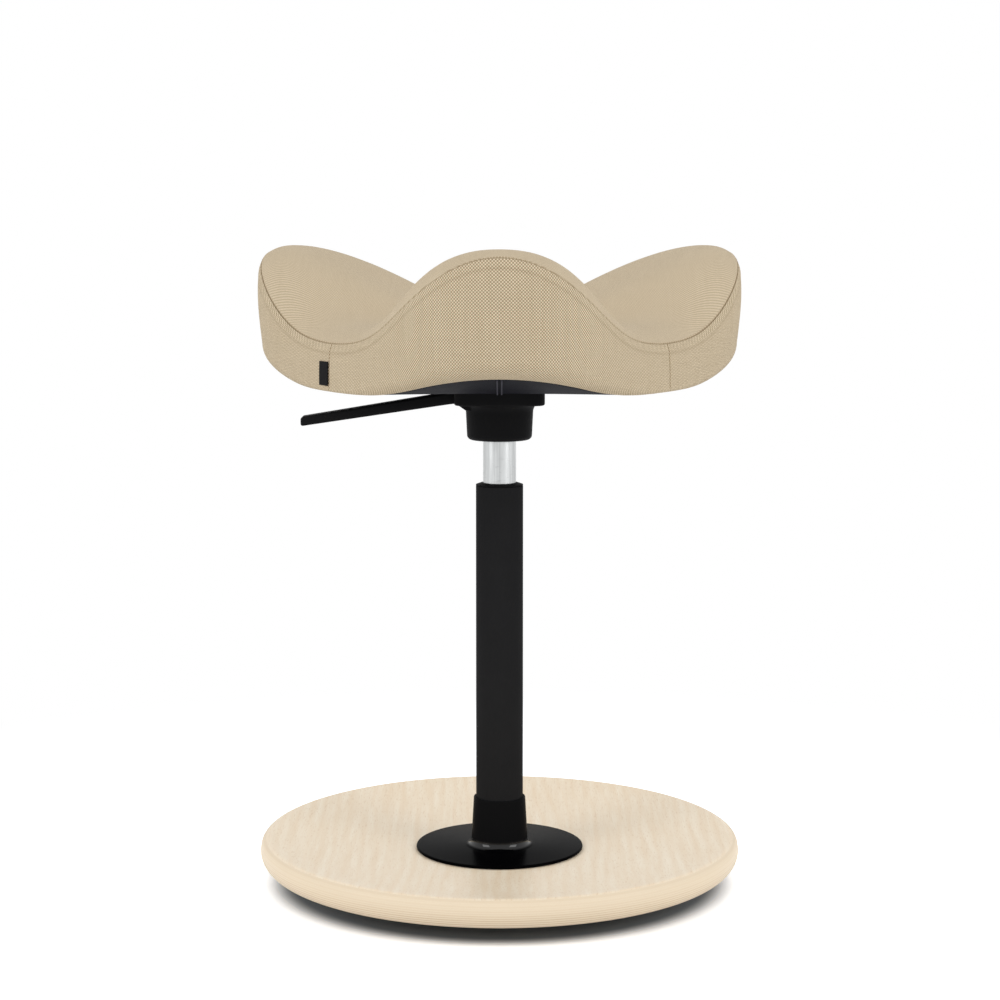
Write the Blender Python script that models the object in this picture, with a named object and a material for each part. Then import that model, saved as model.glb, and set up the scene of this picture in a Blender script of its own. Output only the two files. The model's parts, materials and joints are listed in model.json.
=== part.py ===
"""Sit-stand stool: a dished plywood base that rolls as it tilts, a gas-lift column and a saddle seat.

Metres, +Z up. The origin is on the floor under the middle of the base, and -Y is the front of the seat.
Each size below is set by itself. What fits in or rests on another piece is worked out from them.
"""

import math

import bmesh
import bpy
from mathutils import Vector

# Clearances
GAP = 0.0003
RUN_GAP = 0.00015
SEAM_GAP = 0.0003
WELD_DISTANCE = 0.00002

# Plywood base and its rubber sole
BASE_RADIUS = 0.2035
BOARD_THICK = 0.0235
DISH_RADIUS = 1.25
RIM_TOP_ROUND = 0.007
RIM_LOW_ROUND = 0.014
SOLE_RADIUS = 0.120
SOLE_THICK = 0.0017
FOOT_RADIUS = 0.030

# Flange that holds the column, and the studs welded under it
FLANGE_RADIUS = 0.0712
FLANGE_EDGE = 0.0025
FLANGE_ROUND = 0.0012
COLLAR_HEIGHT = 0.0418
COLLAR_TOP_RADIUS = 0.0220
COLLAR_FOOT_RADIUS = 0.0243
COLLAR_FILLET = 0.0055
COLLAR_ROUND = 0.0010
STUD_COUNT = 4
STUD_CIRCLE = 0.050
STUD_RADIUS = 0.003
NUT_ACROSS_FLATS = 0.010
NUT_HEIGHT = 0.005
WASHER_RADIUS = 0.009
WASHER_THICK = 0.0016
POCKET_RADIUS = 0.011
POCKET_DEPTH = 0.010

# Column tube and the bush that guides the cylinder
TUBE_RADIUS = 0.020
TUBE_WALL = 0.002
TUBE_LENGTH = 0.3136
TUBE_FLOOR_HEIGHT = 0.009
TUBE_FLOOR_THICK = 0.004
BUSH_LENGTH = 0.085
BUSH_CAP_EDGE = 0.0006
BUSH_CAP_HEIGHT = 0.0022
BUSH_LIP = 0.0012

# Bearing, bumper and clip at the foot of the piston rod
RACE_RADIUS = 0.012
RACE_THICK = 0.002
BALL_RADIUS = 0.0016
BALL_COUNT = 6
CAGE_THICK = 0.0012
BUMPER_RADIUS = 0.011
BUMPER_HEIGHT = 0.012
CLIP_RADIUS = 0.007
CLIP_THICK = 0.0012
ROD_TAIL = 0.0025

# Gas spring
LIFT_STROKE = 0.200
ROD_RADIUS = 0.005
SPIGOT_RADIUS = 0.004
CYLINDER_RADIUS = 0.014
CYLINDER_WALL = 0.0015
CYLINDER_TOP_WALL = 0.003
CYLINDER_TAPER = 0.0007
CYLINDER_REST = 0.0015
GLAND_LENGTH = 0.022
PISTON_HEIGHT = 0.012
PISTON_MARGIN = 0.003
VALVE_LENGTH = 0.045
VALVE_PIN_RADIUS = 0.002
VALVE_PIN_LENGTH = 0.024
VALVE_PIN_SHOW = 0.003

# Hub under the seat
CYLINDER_SHOWN = 0.0365
SOCKET_DEPTH = 0.028
NECK_LOW_RADIUS = 0.0275
NECK_TOP_RADIUS = 0.0284
NECK_HEIGHT = 0.0309
NECK_ROUND = 0.004
NECK_FLARE = 0.0062
NECK_FLARE_HEIGHT = 0.0078
GUSSET_INSET = 0.0006
GUSSET_DROP = 0.0052
GUSSET_RISE = 0.0009
PLATE_WIDTH = 0.0756
PLATE_THICK = 0.0118
PLATE_CORNER = 0.010
PLATE_ROUND = 0.0018
ARC_PROFILE = 0.5
SCREW_SPACING = 0.059
SCREW_RADIUS = 0.003
SCREW_HEAD_RADIUS = 0.005
SCREW_HEAD_HEIGHT = 0.005
SOCKET_KEY_RADIUS = 0.0025
SOCKET_KEY_DEPTH = 0.0025

# Lever
LEVER_REACH = 0.1675
LEVER_WIDTH = 0.020
LEVER_THICK = 0.008
LEVER_ROOT_THICK = 0.010
LEVER_TIP_THICK = 0.0077
LEVER_DROOP = math.radians(8.9)
LEVER_BEND = 0.020
LEVER_INNER = 0.028
LEVER_EDGE_ROUND = 0.0022
LEVER_PIVOT = 0.022
LEVER_PIN_RADIUS = 0.0025
LEVER_PIN_WALL = 0.006
CAVITY_END = 0.0025
CAVITY_SIDE = 0.0015
CAVITY_BELOW = 0.0022

# Seat shell and its T-nuts
SHELL_THICK = 0.008
SHELL_EDGE_THICK = 0.004
CREASE_MARGIN = 0.030
T_NUT_BARREL = 0.0039
T_NUT_FLANGE = 0.0085
T_NUT_FLANGE_THICK = 0.0012

# Saddle cushion: three lobes that rise, and three valleys between them
LOBES = 3
FRONT_LOBE = -math.pi / 2
VALLEY_RADIUS = 0.1566
LOBE_RADIUS = 0.2305
LOBE_NARROWING = 2.56
LOBE_SPREAD = 0.5
EDGE_VALLEY_HEIGHT = 0.0031
EDGE_LOBE_HEIGHT = 0.0222
EDGE_NARROWING = 2.51
SEAM_VALLEY_HEIGHT = 0.0429
SEAM_LOBE_HEIGHT = 0.1145
SEAM_NARROWING = 2.73
SEAM_SPREAD = 0.22
CROWN_VALLEY_HEIGHT = 0.0562
CROWN_LOBE_HEIGHT = 0.1226
CROWN_BROADENING = 1.16
CROWN_NARROWING = 1.32
CROWN_EDGE_NARROWING = 0.93
CROWN_EDGE_POWER = 4
CROWN_ROLL = 0.0128
CROWN_ROLL_POWER = 1.27
SIDE_VALLEY_BULGE = 0.0018
SIDE_LOBE_BULGE = 0.0032
SIDE_BULGE_POWER = 0.7
SIDE_VALLEY_FLARE = 0.0030
SIDE_LOBE_TAPER = 0.0015
SIDE_LEAN_POWER = 1.5
CORNER_VALLEY_ROUND = 0.0025
CORNER_LOBE_ROUND = 0.0185
SIDE_WRAP = 0.005
SEAM_DEPTH = 0.0010
SEAM_WIDTH = 0.003
COVER_THICK = 0.0015

# Label tag, left plain
TAG_WIDTH = 0.0155
TAG_LOW = 0.0080
TAG_HIGH = 0.0275
TAG_THICK = 0.0008

# Facets
FINE = 48
ROUND = 40
SMALL = 16
SCREW_FACETS = 12
SEAT_STEPS = 16

BLACK_STEEL = ((0.012, 0.012, 0.013), 0.42, 0.0)
BLACK_PLASTIC = ((0.014, 0.014, 0.015), 0.5, 0.0)
RUBBER = ((0.02, 0.02, 0.02), 0.85, 0.0)
SILVER_STEEL = ((0.68, 0.69, 0.70), 0.28, 1.0)
ZINC = ((0.60, 0.61, 0.60), 0.35, 1.0)
GREASED_BRASS = ((0.55, 0.42, 0.20), 0.35, 1.0)
PALE_PLYWOOD = ((0.79, 0.66, 0.50), 0.5, 0.0)
SLATE_PLASTIC = ((0.040, 0.041, 0.050), 0.6, 0.0)
FOAM = ((0.80, 0.76, 0.62), 0.9, 0.0)
TAN_FABRIC = ((0.58, 0.48, 0.33), 0.9, 0.0)
BLACK_TAPE = ((0.01, 0.01, 0.01), 0.8, 0.0)


def finish(obj, look):
    """Gives the piece a material of its own."""
    colour, roughness, metallic = look
    material = bpy.data.materials.new(obj.name)
    material.use_nodes = True
    shader = material.node_tree.nodes["Principled BSDF"]
    shader.inputs["Base Color"].default_value = (*colour, 1.0)
    shader.inputs["Roughness"].default_value = roughness
    shader.inputs["Metallic"].default_value = metallic
    obj.data.materials.append(material)


def new_object(name, bm, look=None, origin=(0.0, 0.0, 0.0)):
    """Makes an object of the mesh, with its origin at the given point."""
    bmesh.ops.remove_doubles(bm, verts=bm.verts, dist=1e-6)
    bmesh.ops.recalc_face_normals(bm, faces=bm.faces)
    bmesh.ops.translate(bm, verts=bm.verts, vec=-Vector(origin))
    mesh = bpy.data.meshes.new(name)
    bm.to_mesh(mesh)
    bm.free()
    mesh.shade_smooth()
    mesh.set_sharp_from_angle(angle=math.radians(35))
    obj = bpy.data.objects.new(name, mesh)
    obj.location = origin
    bpy.context.collection.objects.link(obj)
    if look:
        finish(obj, look)
    return obj


def spin_profile(bm, profile, steps, centre=(0.0, 0.0)):
    """Turns a profile of (radius, height) points about an upright axis.

    The profile closes on itself unless it starts on the axis.
    """
    x, y = centre
    verts = [bm.verts.new((x + r, y, z)) for r, z in profile]
    edges = [bm.edges.new(pair) for pair in zip(verts, verts[1:])]
    if profile[0][0] > 0:
        edges.append(bm.edges.new((verts[-1], verts[0])))
    bmesh.ops.spin(
        bm, geom=verts + edges, cent=(x, y, 0.0), axis=(0.0, 0.0, 1.0),
        angle=math.tau, steps=steps, use_merge=True)


def turned(name, profile, steps, look=None, centre=(0.0, 0.0)):
    bm = bmesh.new()
    spin_profile(bm, profile, steps, centre)
    return new_object(name, bm, look)


def tube_profile(inner, outer, low, high):
    return [(outer, low), (outer, high), (inner, high), (inner, low)]


def rod_profile(radius, low, high):
    return [(0.0, low), (radius, low), (radius, high), (0.0, high)]


def arc(centre, radius, start, end, steps):
    """Points on an arc in the (radius, height) plane, from one angle to another, in degrees."""
    cx, cz = centre
    angles = [math.radians(start + (end - start) * k / steps) for k in range(steps + 1)]
    return [(cx + radius * math.cos(a), cz + radius * math.sin(a)) for a in angles]


def add_box(bm, low, high):
    """Adds a box between two corners."""
    size = Vector(high) - Vector(low)
    middle = (Vector(high) + Vector(low)) / 2
    made = bmesh.ops.create_cube(bm, size=1.0)["verts"]
    bmesh.ops.scale(bm, vec=size, verts=made)
    bmesh.ops.translate(bm, vec=middle, verts=made)


def add_bar(bm, outline, width):
    """Adds a bar across the middle plane: an outline in X and Z, as wide as asked along Y."""
    face = bm.faces.new([bm.verts.new((x, -width / 2, z)) for x, z in outline])
    grown = bmesh.ops.extrude_face_region(bm, geom=[face])["geom"]
    moved = [v for v in grown if isinstance(v, bmesh.types.BMVert)]
    bmesh.ops.translate(bm, verts=moved, vec=(0.0, width, 0.0))


def combine(target, other, operation):
    """Joins or cuts the target with another object, which then stays as a guide."""
    other.hide_render = True
    other.display_type = "WIRE"
    modifier = target.modifiers.new(other.name, "BOOLEAN")
    modifier.operation = operation
    modifier.solver = "EXACT"
    modifier.object = other


def grows(start, end):
    """Whether a step goes outwards or upwards, judged by whichever it does more."""
    out = math.hypot(end[0], end[1]) - math.hypot(start[0], start[1])
    up = end[2] - start[2]
    return (out if abs(out) >= abs(up) else up) > 0


def weld_cuts(obj):
    """Merges the points that cuts leave on top of each other."""
    weld = obj.modifiers.new("weld", "WELD")
    weld.merge_threshold = WELD_DISTANCE


def skin(name, sections, look, full_turn, closed_section):
    """Joins rows of points, one section after another, into one closed body.

    The diagonals follow from where the sections widen, so they match in bodies that touch.
    """
    bm = bmesh.new()
    rows = [[bm.verts.new(point) for point in section] for section in sections]
    reach = [max(math.hypot(x, y) for x, y, _ in section) for section in sections]
    count = len(rows[0])
    model = sections[0]
    steps = [grows(model[k], model[(k + 1) % count]) for k in range(count)]
    for i in range(len(rows) if full_turn else len(rows) - 1):
        j = (i + 1) % len(rows)
        widens = reach[j] > reach[i]
        for k in range(count if closed_section else count - 1):
            n = (k + 1) % count
            a, b, c, d = rows[i][k], rows[j][k], rows[j][n], rows[i][n]
            if widens == steps[k]:
                triangles = (a, b, d), (b, c, d)
            else:
                triangles = (a, b, c), (a, c, d)
            for triangle in triangles:
                bm.faces.new(triangle)
    if not full_turn:
        bm.faces.new(rows[0])
        bm.faces.new(rows[-1][::-1])
    return new_object(name, bm, look)


def ring_places(count, radius, start=0.0):
    """Centres spaced evenly on a circle, the first at a share of a whole turn from +X."""
    angles = [math.tau * (start + k / count) for k in range(count)]
    return [(radius * math.cos(a), radius * math.sin(a)) for a in angles]


# Heights on the base, from the floor up
board_low = SOLE_THICK + GAP
board_top = board_low + BOARD_THICK
dish_centre = board_top + DISH_RADIUS
sole_top_radius = DISH_RADIUS + BOARD_THICK + GAP
sole_low_radius = sole_top_radius + SOLE_THICK


def sphere_height(radius, r):
    """Height at distance r from the axis of a sphere about the dish's centre."""
    return dish_centre - math.sqrt(radius * radius - r * r)


def dish_top(r):
    return sphere_height(DISH_RADIUS, r)


def dish_low(r):
    return sphere_height(DISH_RADIUS + BOARD_THICK, r)


flange_top = dish_top(FLANGE_RADIUS) + GAP + FLANGE_EDGE
collar_top = flange_top + COLLAR_HEIGHT
tube_inner = TUBE_RADIUS - TUBE_WALL
tube_foot = dish_top(TUBE_RADIUS) + GAP
tube_top = tube_foot + TUBE_LENGTH
floor_low = tube_foot + TUBE_FLOOR_HEIGHT
floor_top = floor_low + TUBE_FLOOR_THICK

# Heights of the bearing and the gas spring at the lowest setting
low_race = floor_top + GAP
ball_low = low_race + RACE_THICK + GAP
high_race = ball_low + 2 * BALL_RADIUS + GAP
rod_shoulder = high_race + RACE_THICK + GAP
bumper_top = rod_shoulder + BUMPER_HEIGHT
cylinder_low = bumper_top + CYLINDER_REST
cylinder_inner = CYLINDER_RADIUS - CYLINDER_WALL
gland_top = cylinder_low + GLAND_LENGTH
piston_low = gland_top + LIFT_STROKE + PISTON_MARGIN
piston_top = piston_low + PISTON_HEIGHT
rod_end = low_race - TUBE_FLOOR_THICK - 2 * GAP - CLIP_THICK - ROD_TAIL
bush_top = tube_top + GAP + BUSH_CAP_HEIGHT

# Heights of the hub, the lever and the seat
hub_low = bush_top + CYLINDER_SHOWN
plate_low = hub_low + NECK_HEIGHT
plate_top = plate_low + PLATE_THICK
cylinder_top = hub_low + SOCKET_DEPTH
valve_top = cylinder_top - CYLINDER_TOP_WALL - GAP
pin_top = cylinder_top + VALVE_PIN_SHOW
lever_z = pin_top + GAP + LEVER_THICK / 2
lever_x = -LEVER_PIVOT
shell_low = plate_top + GAP


def lobe_share(angle):
    """One on the middle of a lobe, and zero in the middle of a valley."""
    return (1 + math.cos(LOBES * (angle - FRONT_LOBE))) / 2


def between(valley, lobe, angle, narrowing=1.0, spread=0.0):
    """Goes from the valley's value to the lobe's. The spread is the part that rises without narrowing."""
    share = lobe_share(angle)
    return valley + (lobe - valley) * (spread * share + (1 - spread) * share ** narrowing)


def outline(angle):
    return between(VALLEY_RADIUS, LOBE_RADIUS, angle, LOBE_NARROWING, LOBE_SPREAD)


def seam_height(angle):
    rise = between(SEAM_VALLEY_HEIGHT, SEAM_LOBE_HEIGHT, angle, SEAM_NARROWING, SEAM_SPREAD)
    return shell_low + rise


def edge_height(angle):
    return shell_low + between(EDGE_VALLEY_HEIGHT, EDGE_LOBE_HEIGHT, angle, EDGE_NARROWING)


def corner_round(angle):
    """Rounding of the cushion's lower corner, wide under the lobes and tight in the valleys."""
    return between(CORNER_VALLEY_ROUND, CORNER_LOBE_ROUND, angle)


def crown_height(share, angle):
    """Height of the saddle's top, at a share of the way from its middle to the seam."""
    rise = share * share * (3 - 2 * share)
    narrowing = CROWN_NARROWING + CROWN_EDGE_NARROWING * share ** CROWN_EDGE_POWER
    broad = 1 - (1 - lobe_share(angle)) ** CROWN_BROADENING
    lobe = broad ** narrowing * rise
    return shell_low + CROWN_VALLEY_HEIGHT + (CROWN_LOBE_HEIGHT - CROWN_VALLEY_HEIGHT) * lobe


def top_height(share, angle):
    """The crown, rolled over to the seam near the edge."""
    inward = (1 - share) * outline(angle)
    roll = math.exp(-((inward / CROWN_ROLL) ** CROWN_ROLL_POWER))
    drop = crown_height(1.0, angle) - seam_height(angle)
    return crown_height(share, angle) - drop * roll


def seam_corner(angle, depth, above):
    """Corner of the seam at a depth inside the cover, and a little above or below its middle."""
    return outline(angle) - SEAM_DEPTH - depth, seam_height(angle) - depth + above


def top_section(angle, shares):
    """The cushion's top from its middle to the seam, in the (radius, height) plane."""
    reach = outline(angle)
    points = [(share * reach, top_height(share, angle)) for share in shares[:-1]]
    return points + [seam_corner(angle, 0.0, SEAM_GAP / 2)]


def side_point(angle, share):
    """A point of the side band, from the seam at 0 to the start of the lower corner at 1."""
    high = seam_height(angle) - SEAM_GAP / 2
    low = edge_height(angle) + corner_round(angle)
    bulge = between(SIDE_VALLEY_BULGE, SIDE_LOBE_BULGE, angle)
    lean = between(SIDE_VALLEY_FLARE, -SIDE_LOBE_TAPER, angle)
    swell = bulge * math.sin(math.pi * share ** SIDE_BULGE_POWER) + lean * share ** SIDE_LEAN_POWER
    notch = SEAM_DEPTH * math.exp(-((share * (high - low) / SEAM_WIDTH) ** 2))
    return outline(angle) + swell - notch, high - (high - low) * share


def side_section(angle, shares, corner_steps):
    """The side band from the seam down, round the lower corner and under the seat."""
    points = [side_point(angle, share) for share in shares]
    r, z = points[-1]
    rounding = corner_round(angle)
    points += arc((r - rounding, z), rounding, 0, -90, corner_steps)[1:]
    points.append((r - rounding - SIDE_WRAP, edge_height(angle)))
    return points


def wrap_radius(angle):
    """Where the cover's hem ends under the seat."""
    return side_point(angle, 1.0)[0] - corner_round(angle) - SIDE_WRAP


def shell_edge(angle):
    return wrap_radius(angle) - GAP


def inset(points, depth):
    """Moves a section's points inwards, square to the section."""
    moved = []
    for k, (r, z) in enumerate(points):
        before = points[max(k - 1, 0)]
        after = points[min(k + 1, len(points) - 1)]
        along = Vector((after[0] - before[0], after[1] - before[1])).normalized()
        moved.append((r + along.y * depth, z - along.x * depth))
    return moved


def placed(points, angle):
    return [(r * math.cos(angle), r * math.sin(angle), z) for r, z in points]


def turn_angles(start, end, steps, full=False):
    count = steps if full else steps + 1
    return [start + (end - start) * k / steps for k in range(count)]


def flange_bed():
    """Distances from the axis where the flange's underside follows the dish."""
    bore = TUBE_RADIUS + GAP
    return bore, (bore + FLANGE_RADIUS) / 2, FLANGE_RADIUS


def make_base_disc():
    slope = math.asin(BASE_RADIUS / DISH_RADIUS)
    along = Vector((math.cos(slope), math.sin(slope)))
    square = Vector((-math.sin(slope), math.cos(slope)))
    rim = BASE_RADIUS - RIM_TOP_ROUND * along.x + (BOARD_THICK - RIM_LOW_ROUND) * square.x
    corner = Vector((rim, dish_top(rim)))
    turn = math.degrees(slope)
    high = corner - square * RIM_TOP_ROUND
    low = corner + along * (RIM_TOP_ROUND - RIM_LOW_ROUND) - square * (BOARD_THICK - RIM_LOW_ROUND)
    top_steps = [0.0, *flange_bed(), FLANGE_RADIUS + (rim - FLANGE_RADIUS) / 3]
    top_steps.append(FLANGE_RADIUS + (rim - FLANGE_RADIUS) * 2 / 3)
    low_start = low.x + square.x * -RIM_LOW_ROUND
    profile = [(r, dish_top(r)) for r in top_steps]
    profile += arc(high, RIM_TOP_ROUND, 90 + turn, turn, 3)
    profile += arc(low, RIM_LOW_ROUND, turn, turn - 90, 4)
    profile += [(low_start * k / 4, dish_low(low_start * k / 4)) for k in range(3, -1, -1)]
    disc = turned("base_disc", profile, FINE, PALE_PLYWOOD)
    pocket_top = board_low + POCKET_DEPTH
    stepped = [
        (0.0, 0.0), (POCKET_RADIUS, 0.0), (POCKET_RADIUS, pocket_top),
        (STUD_RADIUS + GAP, pocket_top), (STUD_RADIUS + GAP, flange_top), (0.0, flange_top)]
    bm = bmesh.new()
    for place in ring_places(STUD_COUNT, STUD_CIRCLE, 1 / 8):
        spin_profile(bm, stepped, SCREW_FACETS, place)
    combine(disc, new_object("stud_holes", bm), "DIFFERENCE")
    weld_cuts(disc)


def make_floor_sole():
    """Rubber sole under the dish, flat in the middle where the stool stands."""
    flat = sphere_height(sole_low_radius, FOOT_RADIUS)
    steps = [FOOT_RADIUS + (SOLE_RADIUS - FOOT_RADIUS) * k / 3 for k in range(4)]
    low = [(0.0, 0.0)] + [(r, sphere_height(sole_low_radius, r) - flat) for r in steps]
    high = [(r, sphere_height(sole_top_radius, r)) for r in steps[::-1]]
    high.append((0.0, sphere_height(sole_top_radius, 0.0)))
    turned("floor_sole", low + high, ROUND, RUBBER)


def stud_ends():
    """Heights of the nut pockets' roofs and of the studs' lower ends."""
    roof = board_low + POCKET_DEPTH
    return roof, roof - GAP - WASHER_THICK - GAP - NUT_HEIGHT - 0.0004


def make_column_flange():
    """Steel flange with a tapering collar, and four studs welded under it."""
    foot = flange_top + COLLAR_FILLET
    fillet = arc((COLLAR_FOOT_RADIUS + COLLAR_FILLET, foot), COLLAR_FILLET, 270, 180, 4)
    rounding = arc(
        (FLANGE_RADIUS - FLANGE_ROUND, flange_top - FLANGE_ROUND), FLANGE_ROUND, 0, 90, 2)
    lip = arc((COLLAR_TOP_RADIUS - COLLAR_ROUND, collar_top - COLLAR_ROUND), COLLAR_ROUND, 0, 90, 2)
    bore = TUBE_RADIUS + GAP
    under = [(r, dish_top(r) + GAP) for r in flange_bed()]
    profile = under + rounding + fillet + lip + [(bore, collar_top)]
    flange = turned("column_flange", profile, ROUND, BLACK_STEEL)
    bm = bmesh.new()
    low = stud_ends()[1]
    for place in ring_places(STUD_COUNT, STUD_CIRCLE, 1 / 8):
        stud = rod_profile(STUD_RADIUS, low, flange_top - FLANGE_EDGE / 2)
        spin_profile(bm, stud, SCREW_FACETS, place)
    combine(flange, new_object("flange_studs", bm), "UNION")
    weld_cuts(flange)


def make_stud_nuts():
    roof, _ = stud_ends()
    washer_low = roof - GAP - WASHER_THICK
    nut_low = washer_low - GAP - NUT_HEIGHT
    corner = NUT_ACROSS_FLATS / math.sqrt(3)
    bore = STUD_RADIUS + GAP
    for k, place in enumerate(ring_places(STUD_COUNT, STUD_CIRCLE, 1 / 8), 1):
        washer = tube_profile(bore, WASHER_RADIUS, washer_low, roof - GAP)
        turned(f"flange_washer_{k}", washer, SCREW_FACETS, ZINC, place)
        bm = bmesh.new()
        spin_profile(bm, rod_profile(corner, nut_low, nut_low + NUT_HEIGHT), 6, place)
        nut = new_object(f"flange_nut_{k}", bm, ZINC)
        through = rod_profile(bore, nut_low - NUT_HEIGHT, roof)
        hole = turned(f"nut_{k}_bore", through, SCREW_FACETS, None, place)
        combine(nut, hole, "DIFFERENCE")
        weld_cuts(nut)


def make_column_tube():
    hole = SPIGOT_RADIUS + GAP
    profile = [
        (TUBE_RADIUS, tube_foot), (TUBE_RADIUS, tube_top), (tube_inner, tube_top),
        (tube_inner, floor_top), (hole, floor_top), (hole, floor_low),
        (tube_inner, floor_low), (tube_inner, tube_foot)]
    turned("column_tube", profile, ROUND, BLACK_STEEL)


def make_guide_bush():
    """Nylon bush in the top of the tube, with a sloping cap on the tube's end."""
    bore = CYLINDER_RADIUS + RUN_GAP
    cap = tube_top + GAP
    sleeve = tube_inner - GAP
    low = tube_top - BUSH_LENGTH
    profile = [
        (bore, low), (sleeve, low), (sleeve, cap), (TUBE_RADIUS, cap),
        (TUBE_RADIUS, cap + BUSH_CAP_EDGE), (bore + BUSH_LIP, bush_top), (bore, bush_top)]
    turned("guide_bush", profile, ROUND, BLACK_PLASTIC)


def make_bearing():
    """Two steel races with caged balls between them, a rubber bumper above and a clip below."""
    bore = SPIGOT_RADIUS + GAP
    for name, low in (("thrust_race_low", low_race), ("thrust_race_high", high_race)):
        turned(name, tube_profile(bore, RACE_RADIUS, low, low + RACE_THICK), SMALL, ZINC)
    middle = ball_low + BALL_RADIUS
    band = tube_profile(bore, RACE_RADIUS, middle - CAGE_THICK / 2, middle + CAGE_THICK / 2)
    cage = turned("ball_cage", band, SMALL, GREASED_BRASS)
    bm = bmesh.new()
    circle = (bore + RACE_RADIUS) / 2
    for x, y in ring_places(BALL_COUNT, circle):
        ball = bmesh.ops.create_uvsphere(bm, u_segments=8, v_segments=6, radius=BALL_RADIUS)
        bmesh.ops.translate(bm, verts=ball["verts"], vec=(x, y, middle))
    combine(cage, new_object("bearing_balls", bm), "UNION")
    weld_cuts(cage)
    bumper = tube_profile(ROD_RADIUS + GAP, BUMPER_RADIUS, rod_shoulder, bumper_top)
    turned("rubber_bumper", bumper, SMALL, RUBBER)
    clip_top = floor_low - GAP
    clip = tube_profile(SPIGOT_RADIUS + GAP, CLIP_RADIUS, clip_top - CLIP_THICK, clip_top)
    turned("rod_clip", clip, SMALL, ZINC)


def make_piston_rod():
    """Ground rod whose spigot passes through the bearing and the tube's floor to its clip."""
    profile = [
        (0.0, rod_end), (SPIGOT_RADIUS, rod_end), (SPIGOT_RADIUS, rod_shoulder),
        (ROD_RADIUS, rod_shoulder), (ROD_RADIUS, piston_low - GAP),
        (SPIGOT_RADIUS, piston_low - GAP), (SPIGOT_RADIUS, piston_top), (0.0, piston_top)]
    turned("piston_rod", profile, SMALL, SILVER_STEEL)
    ring = tube_profile(SPIGOT_RADIUS + GAP, cylinder_inner - RUN_GAP, piston_low, piston_top)
    turned("piston", ring, ROUND, BLACK_PLASTIC)


def cylinder_radius_at(z):
    """The cylinder tapers where it sits in the hub."""
    share = max(0.0, (z - hub_low) / SOCKET_DEPTH)
    return CYLINDER_RADIUS - CYLINDER_TAPER * share


def make_cylinder():
    """Chromed cylinder, open below, with the gland, the valve block and the release pin inside."""
    pin_hole = VALVE_PIN_RADIUS + RUN_GAP
    ceiling = cylinder_top - CYLINDER_TOP_WALL
    profile = [
        (CYLINDER_RADIUS, cylinder_low), (CYLINDER_RADIUS, hub_low),
        (cylinder_radius_at(cylinder_top), cylinder_top), (pin_hole, cylinder_top),
        (pin_hole, ceiling), (cylinder_inner - CYLINDER_TAPER, ceiling),
        (cylinder_inner - CYLINDER_TAPER, hub_low), (cylinder_inner, hub_low),
        (cylinder_inner, cylinder_low)]
    turned("lift_cylinder", profile, ROUND, SILVER_STEEL)
    gland = tube_profile(ROD_RADIUS + RUN_GAP, cylinder_inner - GAP, cylinder_low, gland_top)
    turned("rod_gland", gland, SMALL, BLACK_PLASTIC)
    block = tube_profile(
        pin_hole, cylinder_inner - CYLINDER_TAPER - GAP, valve_top - VALVE_LENGTH, valve_top)
    turned("valve_block", block, SMALL, ZINC)
    pin = rod_profile(VALVE_PIN_RADIUS, pin_top - VALVE_PIN_LENGTH, pin_top)
    turned("release_pin", pin, SMALL, ZINC)


def screw_places():
    half = SCREW_SPACING / 2
    return [(half, half), (-half, half), (-half, -half), (half, -half)]


def make_hub_plate_blank():
    """Square plate with round corners and a rounded lower edge."""
    bm = bmesh.new()
    half = PLATE_WIDTH / 2
    add_box(bm, (-half, -half, plate_low), (half, half, plate_top))
    upright = [e for e in bm.edges if abs(e.verts[0].co.z - e.verts[1].co.z) > PLATE_THICK / 2]
    bmesh.ops.bevel(bm, geom=upright, offset=PLATE_CORNER, segments=5, profile=ARC_PROFILE, affect="EDGES")
    low = [e for e in bm.edges if max(v.co.z for v in e.verts) < plate_low + GAP]
    bmesh.ops.bevel(bm, geom=low, offset=PLATE_ROUND, segments=2, profile=ARC_PROFILE, affect="EDGES")
    return new_object("seat_hub", bm, BLACK_PLASTIC)


def make_seat_hub():
    """Moulded hub: a neck with a tapered socket, and a square plate with the slot of the lever."""
    hub = make_hub_plate_blank()
    low_corner = (NECK_LOW_RADIUS - NECK_ROUND, hub_low + NECK_ROUND)
    joined = plate_low + PLATE_ROUND
    flared = NECK_TOP_RADIUS + NECK_FLARE
    flare = [
        (flared - NECK_FLARE * x, plate_low - NECK_FLARE_HEIGHT * (1 - z))
        for x, z in arc((0.0, 0.0), 1.0, 0, 90, 6)]
    neck = [(0.0, hub_low)] + arc(low_corner, NECK_ROUND, 270, 360, 4) + flare
    neck += [(flared, joined), (0.0, joined)]
    combine(hub, turned("hub_neck", neck, ROUND), "UNION")
    combine(hub, make_hub_gusset(), "UNION")
    socket = [
        (0.0, hub_low - GAP), (cylinder_radius_at(hub_low) + GAP, hub_low - GAP),
        (cylinder_radius_at(cylinder_top) + GAP, cylinder_top),
        (cylinder_radius_at(cylinder_top) + GAP, pin_top), (0.0, pin_top)]
    combine(hub, turned("socket_bore", socket, ROUND), "DIFFERENCE")
    combine(hub, make_lever_cavity(), "DIFFERENCE")
    bm = bmesh.new()
    head = plate_low + SCREW_HEAD_HEIGHT + 2 * GAP
    stepped = [
        (0.0, hub_low), (SCREW_HEAD_RADIUS + GAP, hub_low), (SCREW_HEAD_RADIUS + GAP, head),
        (SCREW_RADIUS + GAP, head), (SCREW_RADIUS + GAP, shell_low), (0.0, shell_low)]
    for place in screw_places():
        spin_profile(bm, stepped, SCREW_FACETS, place)
    combine(hub, new_object("hub_screw_holes", bm), "DIFFERENCE")
    weld_cuts(hub)


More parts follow.
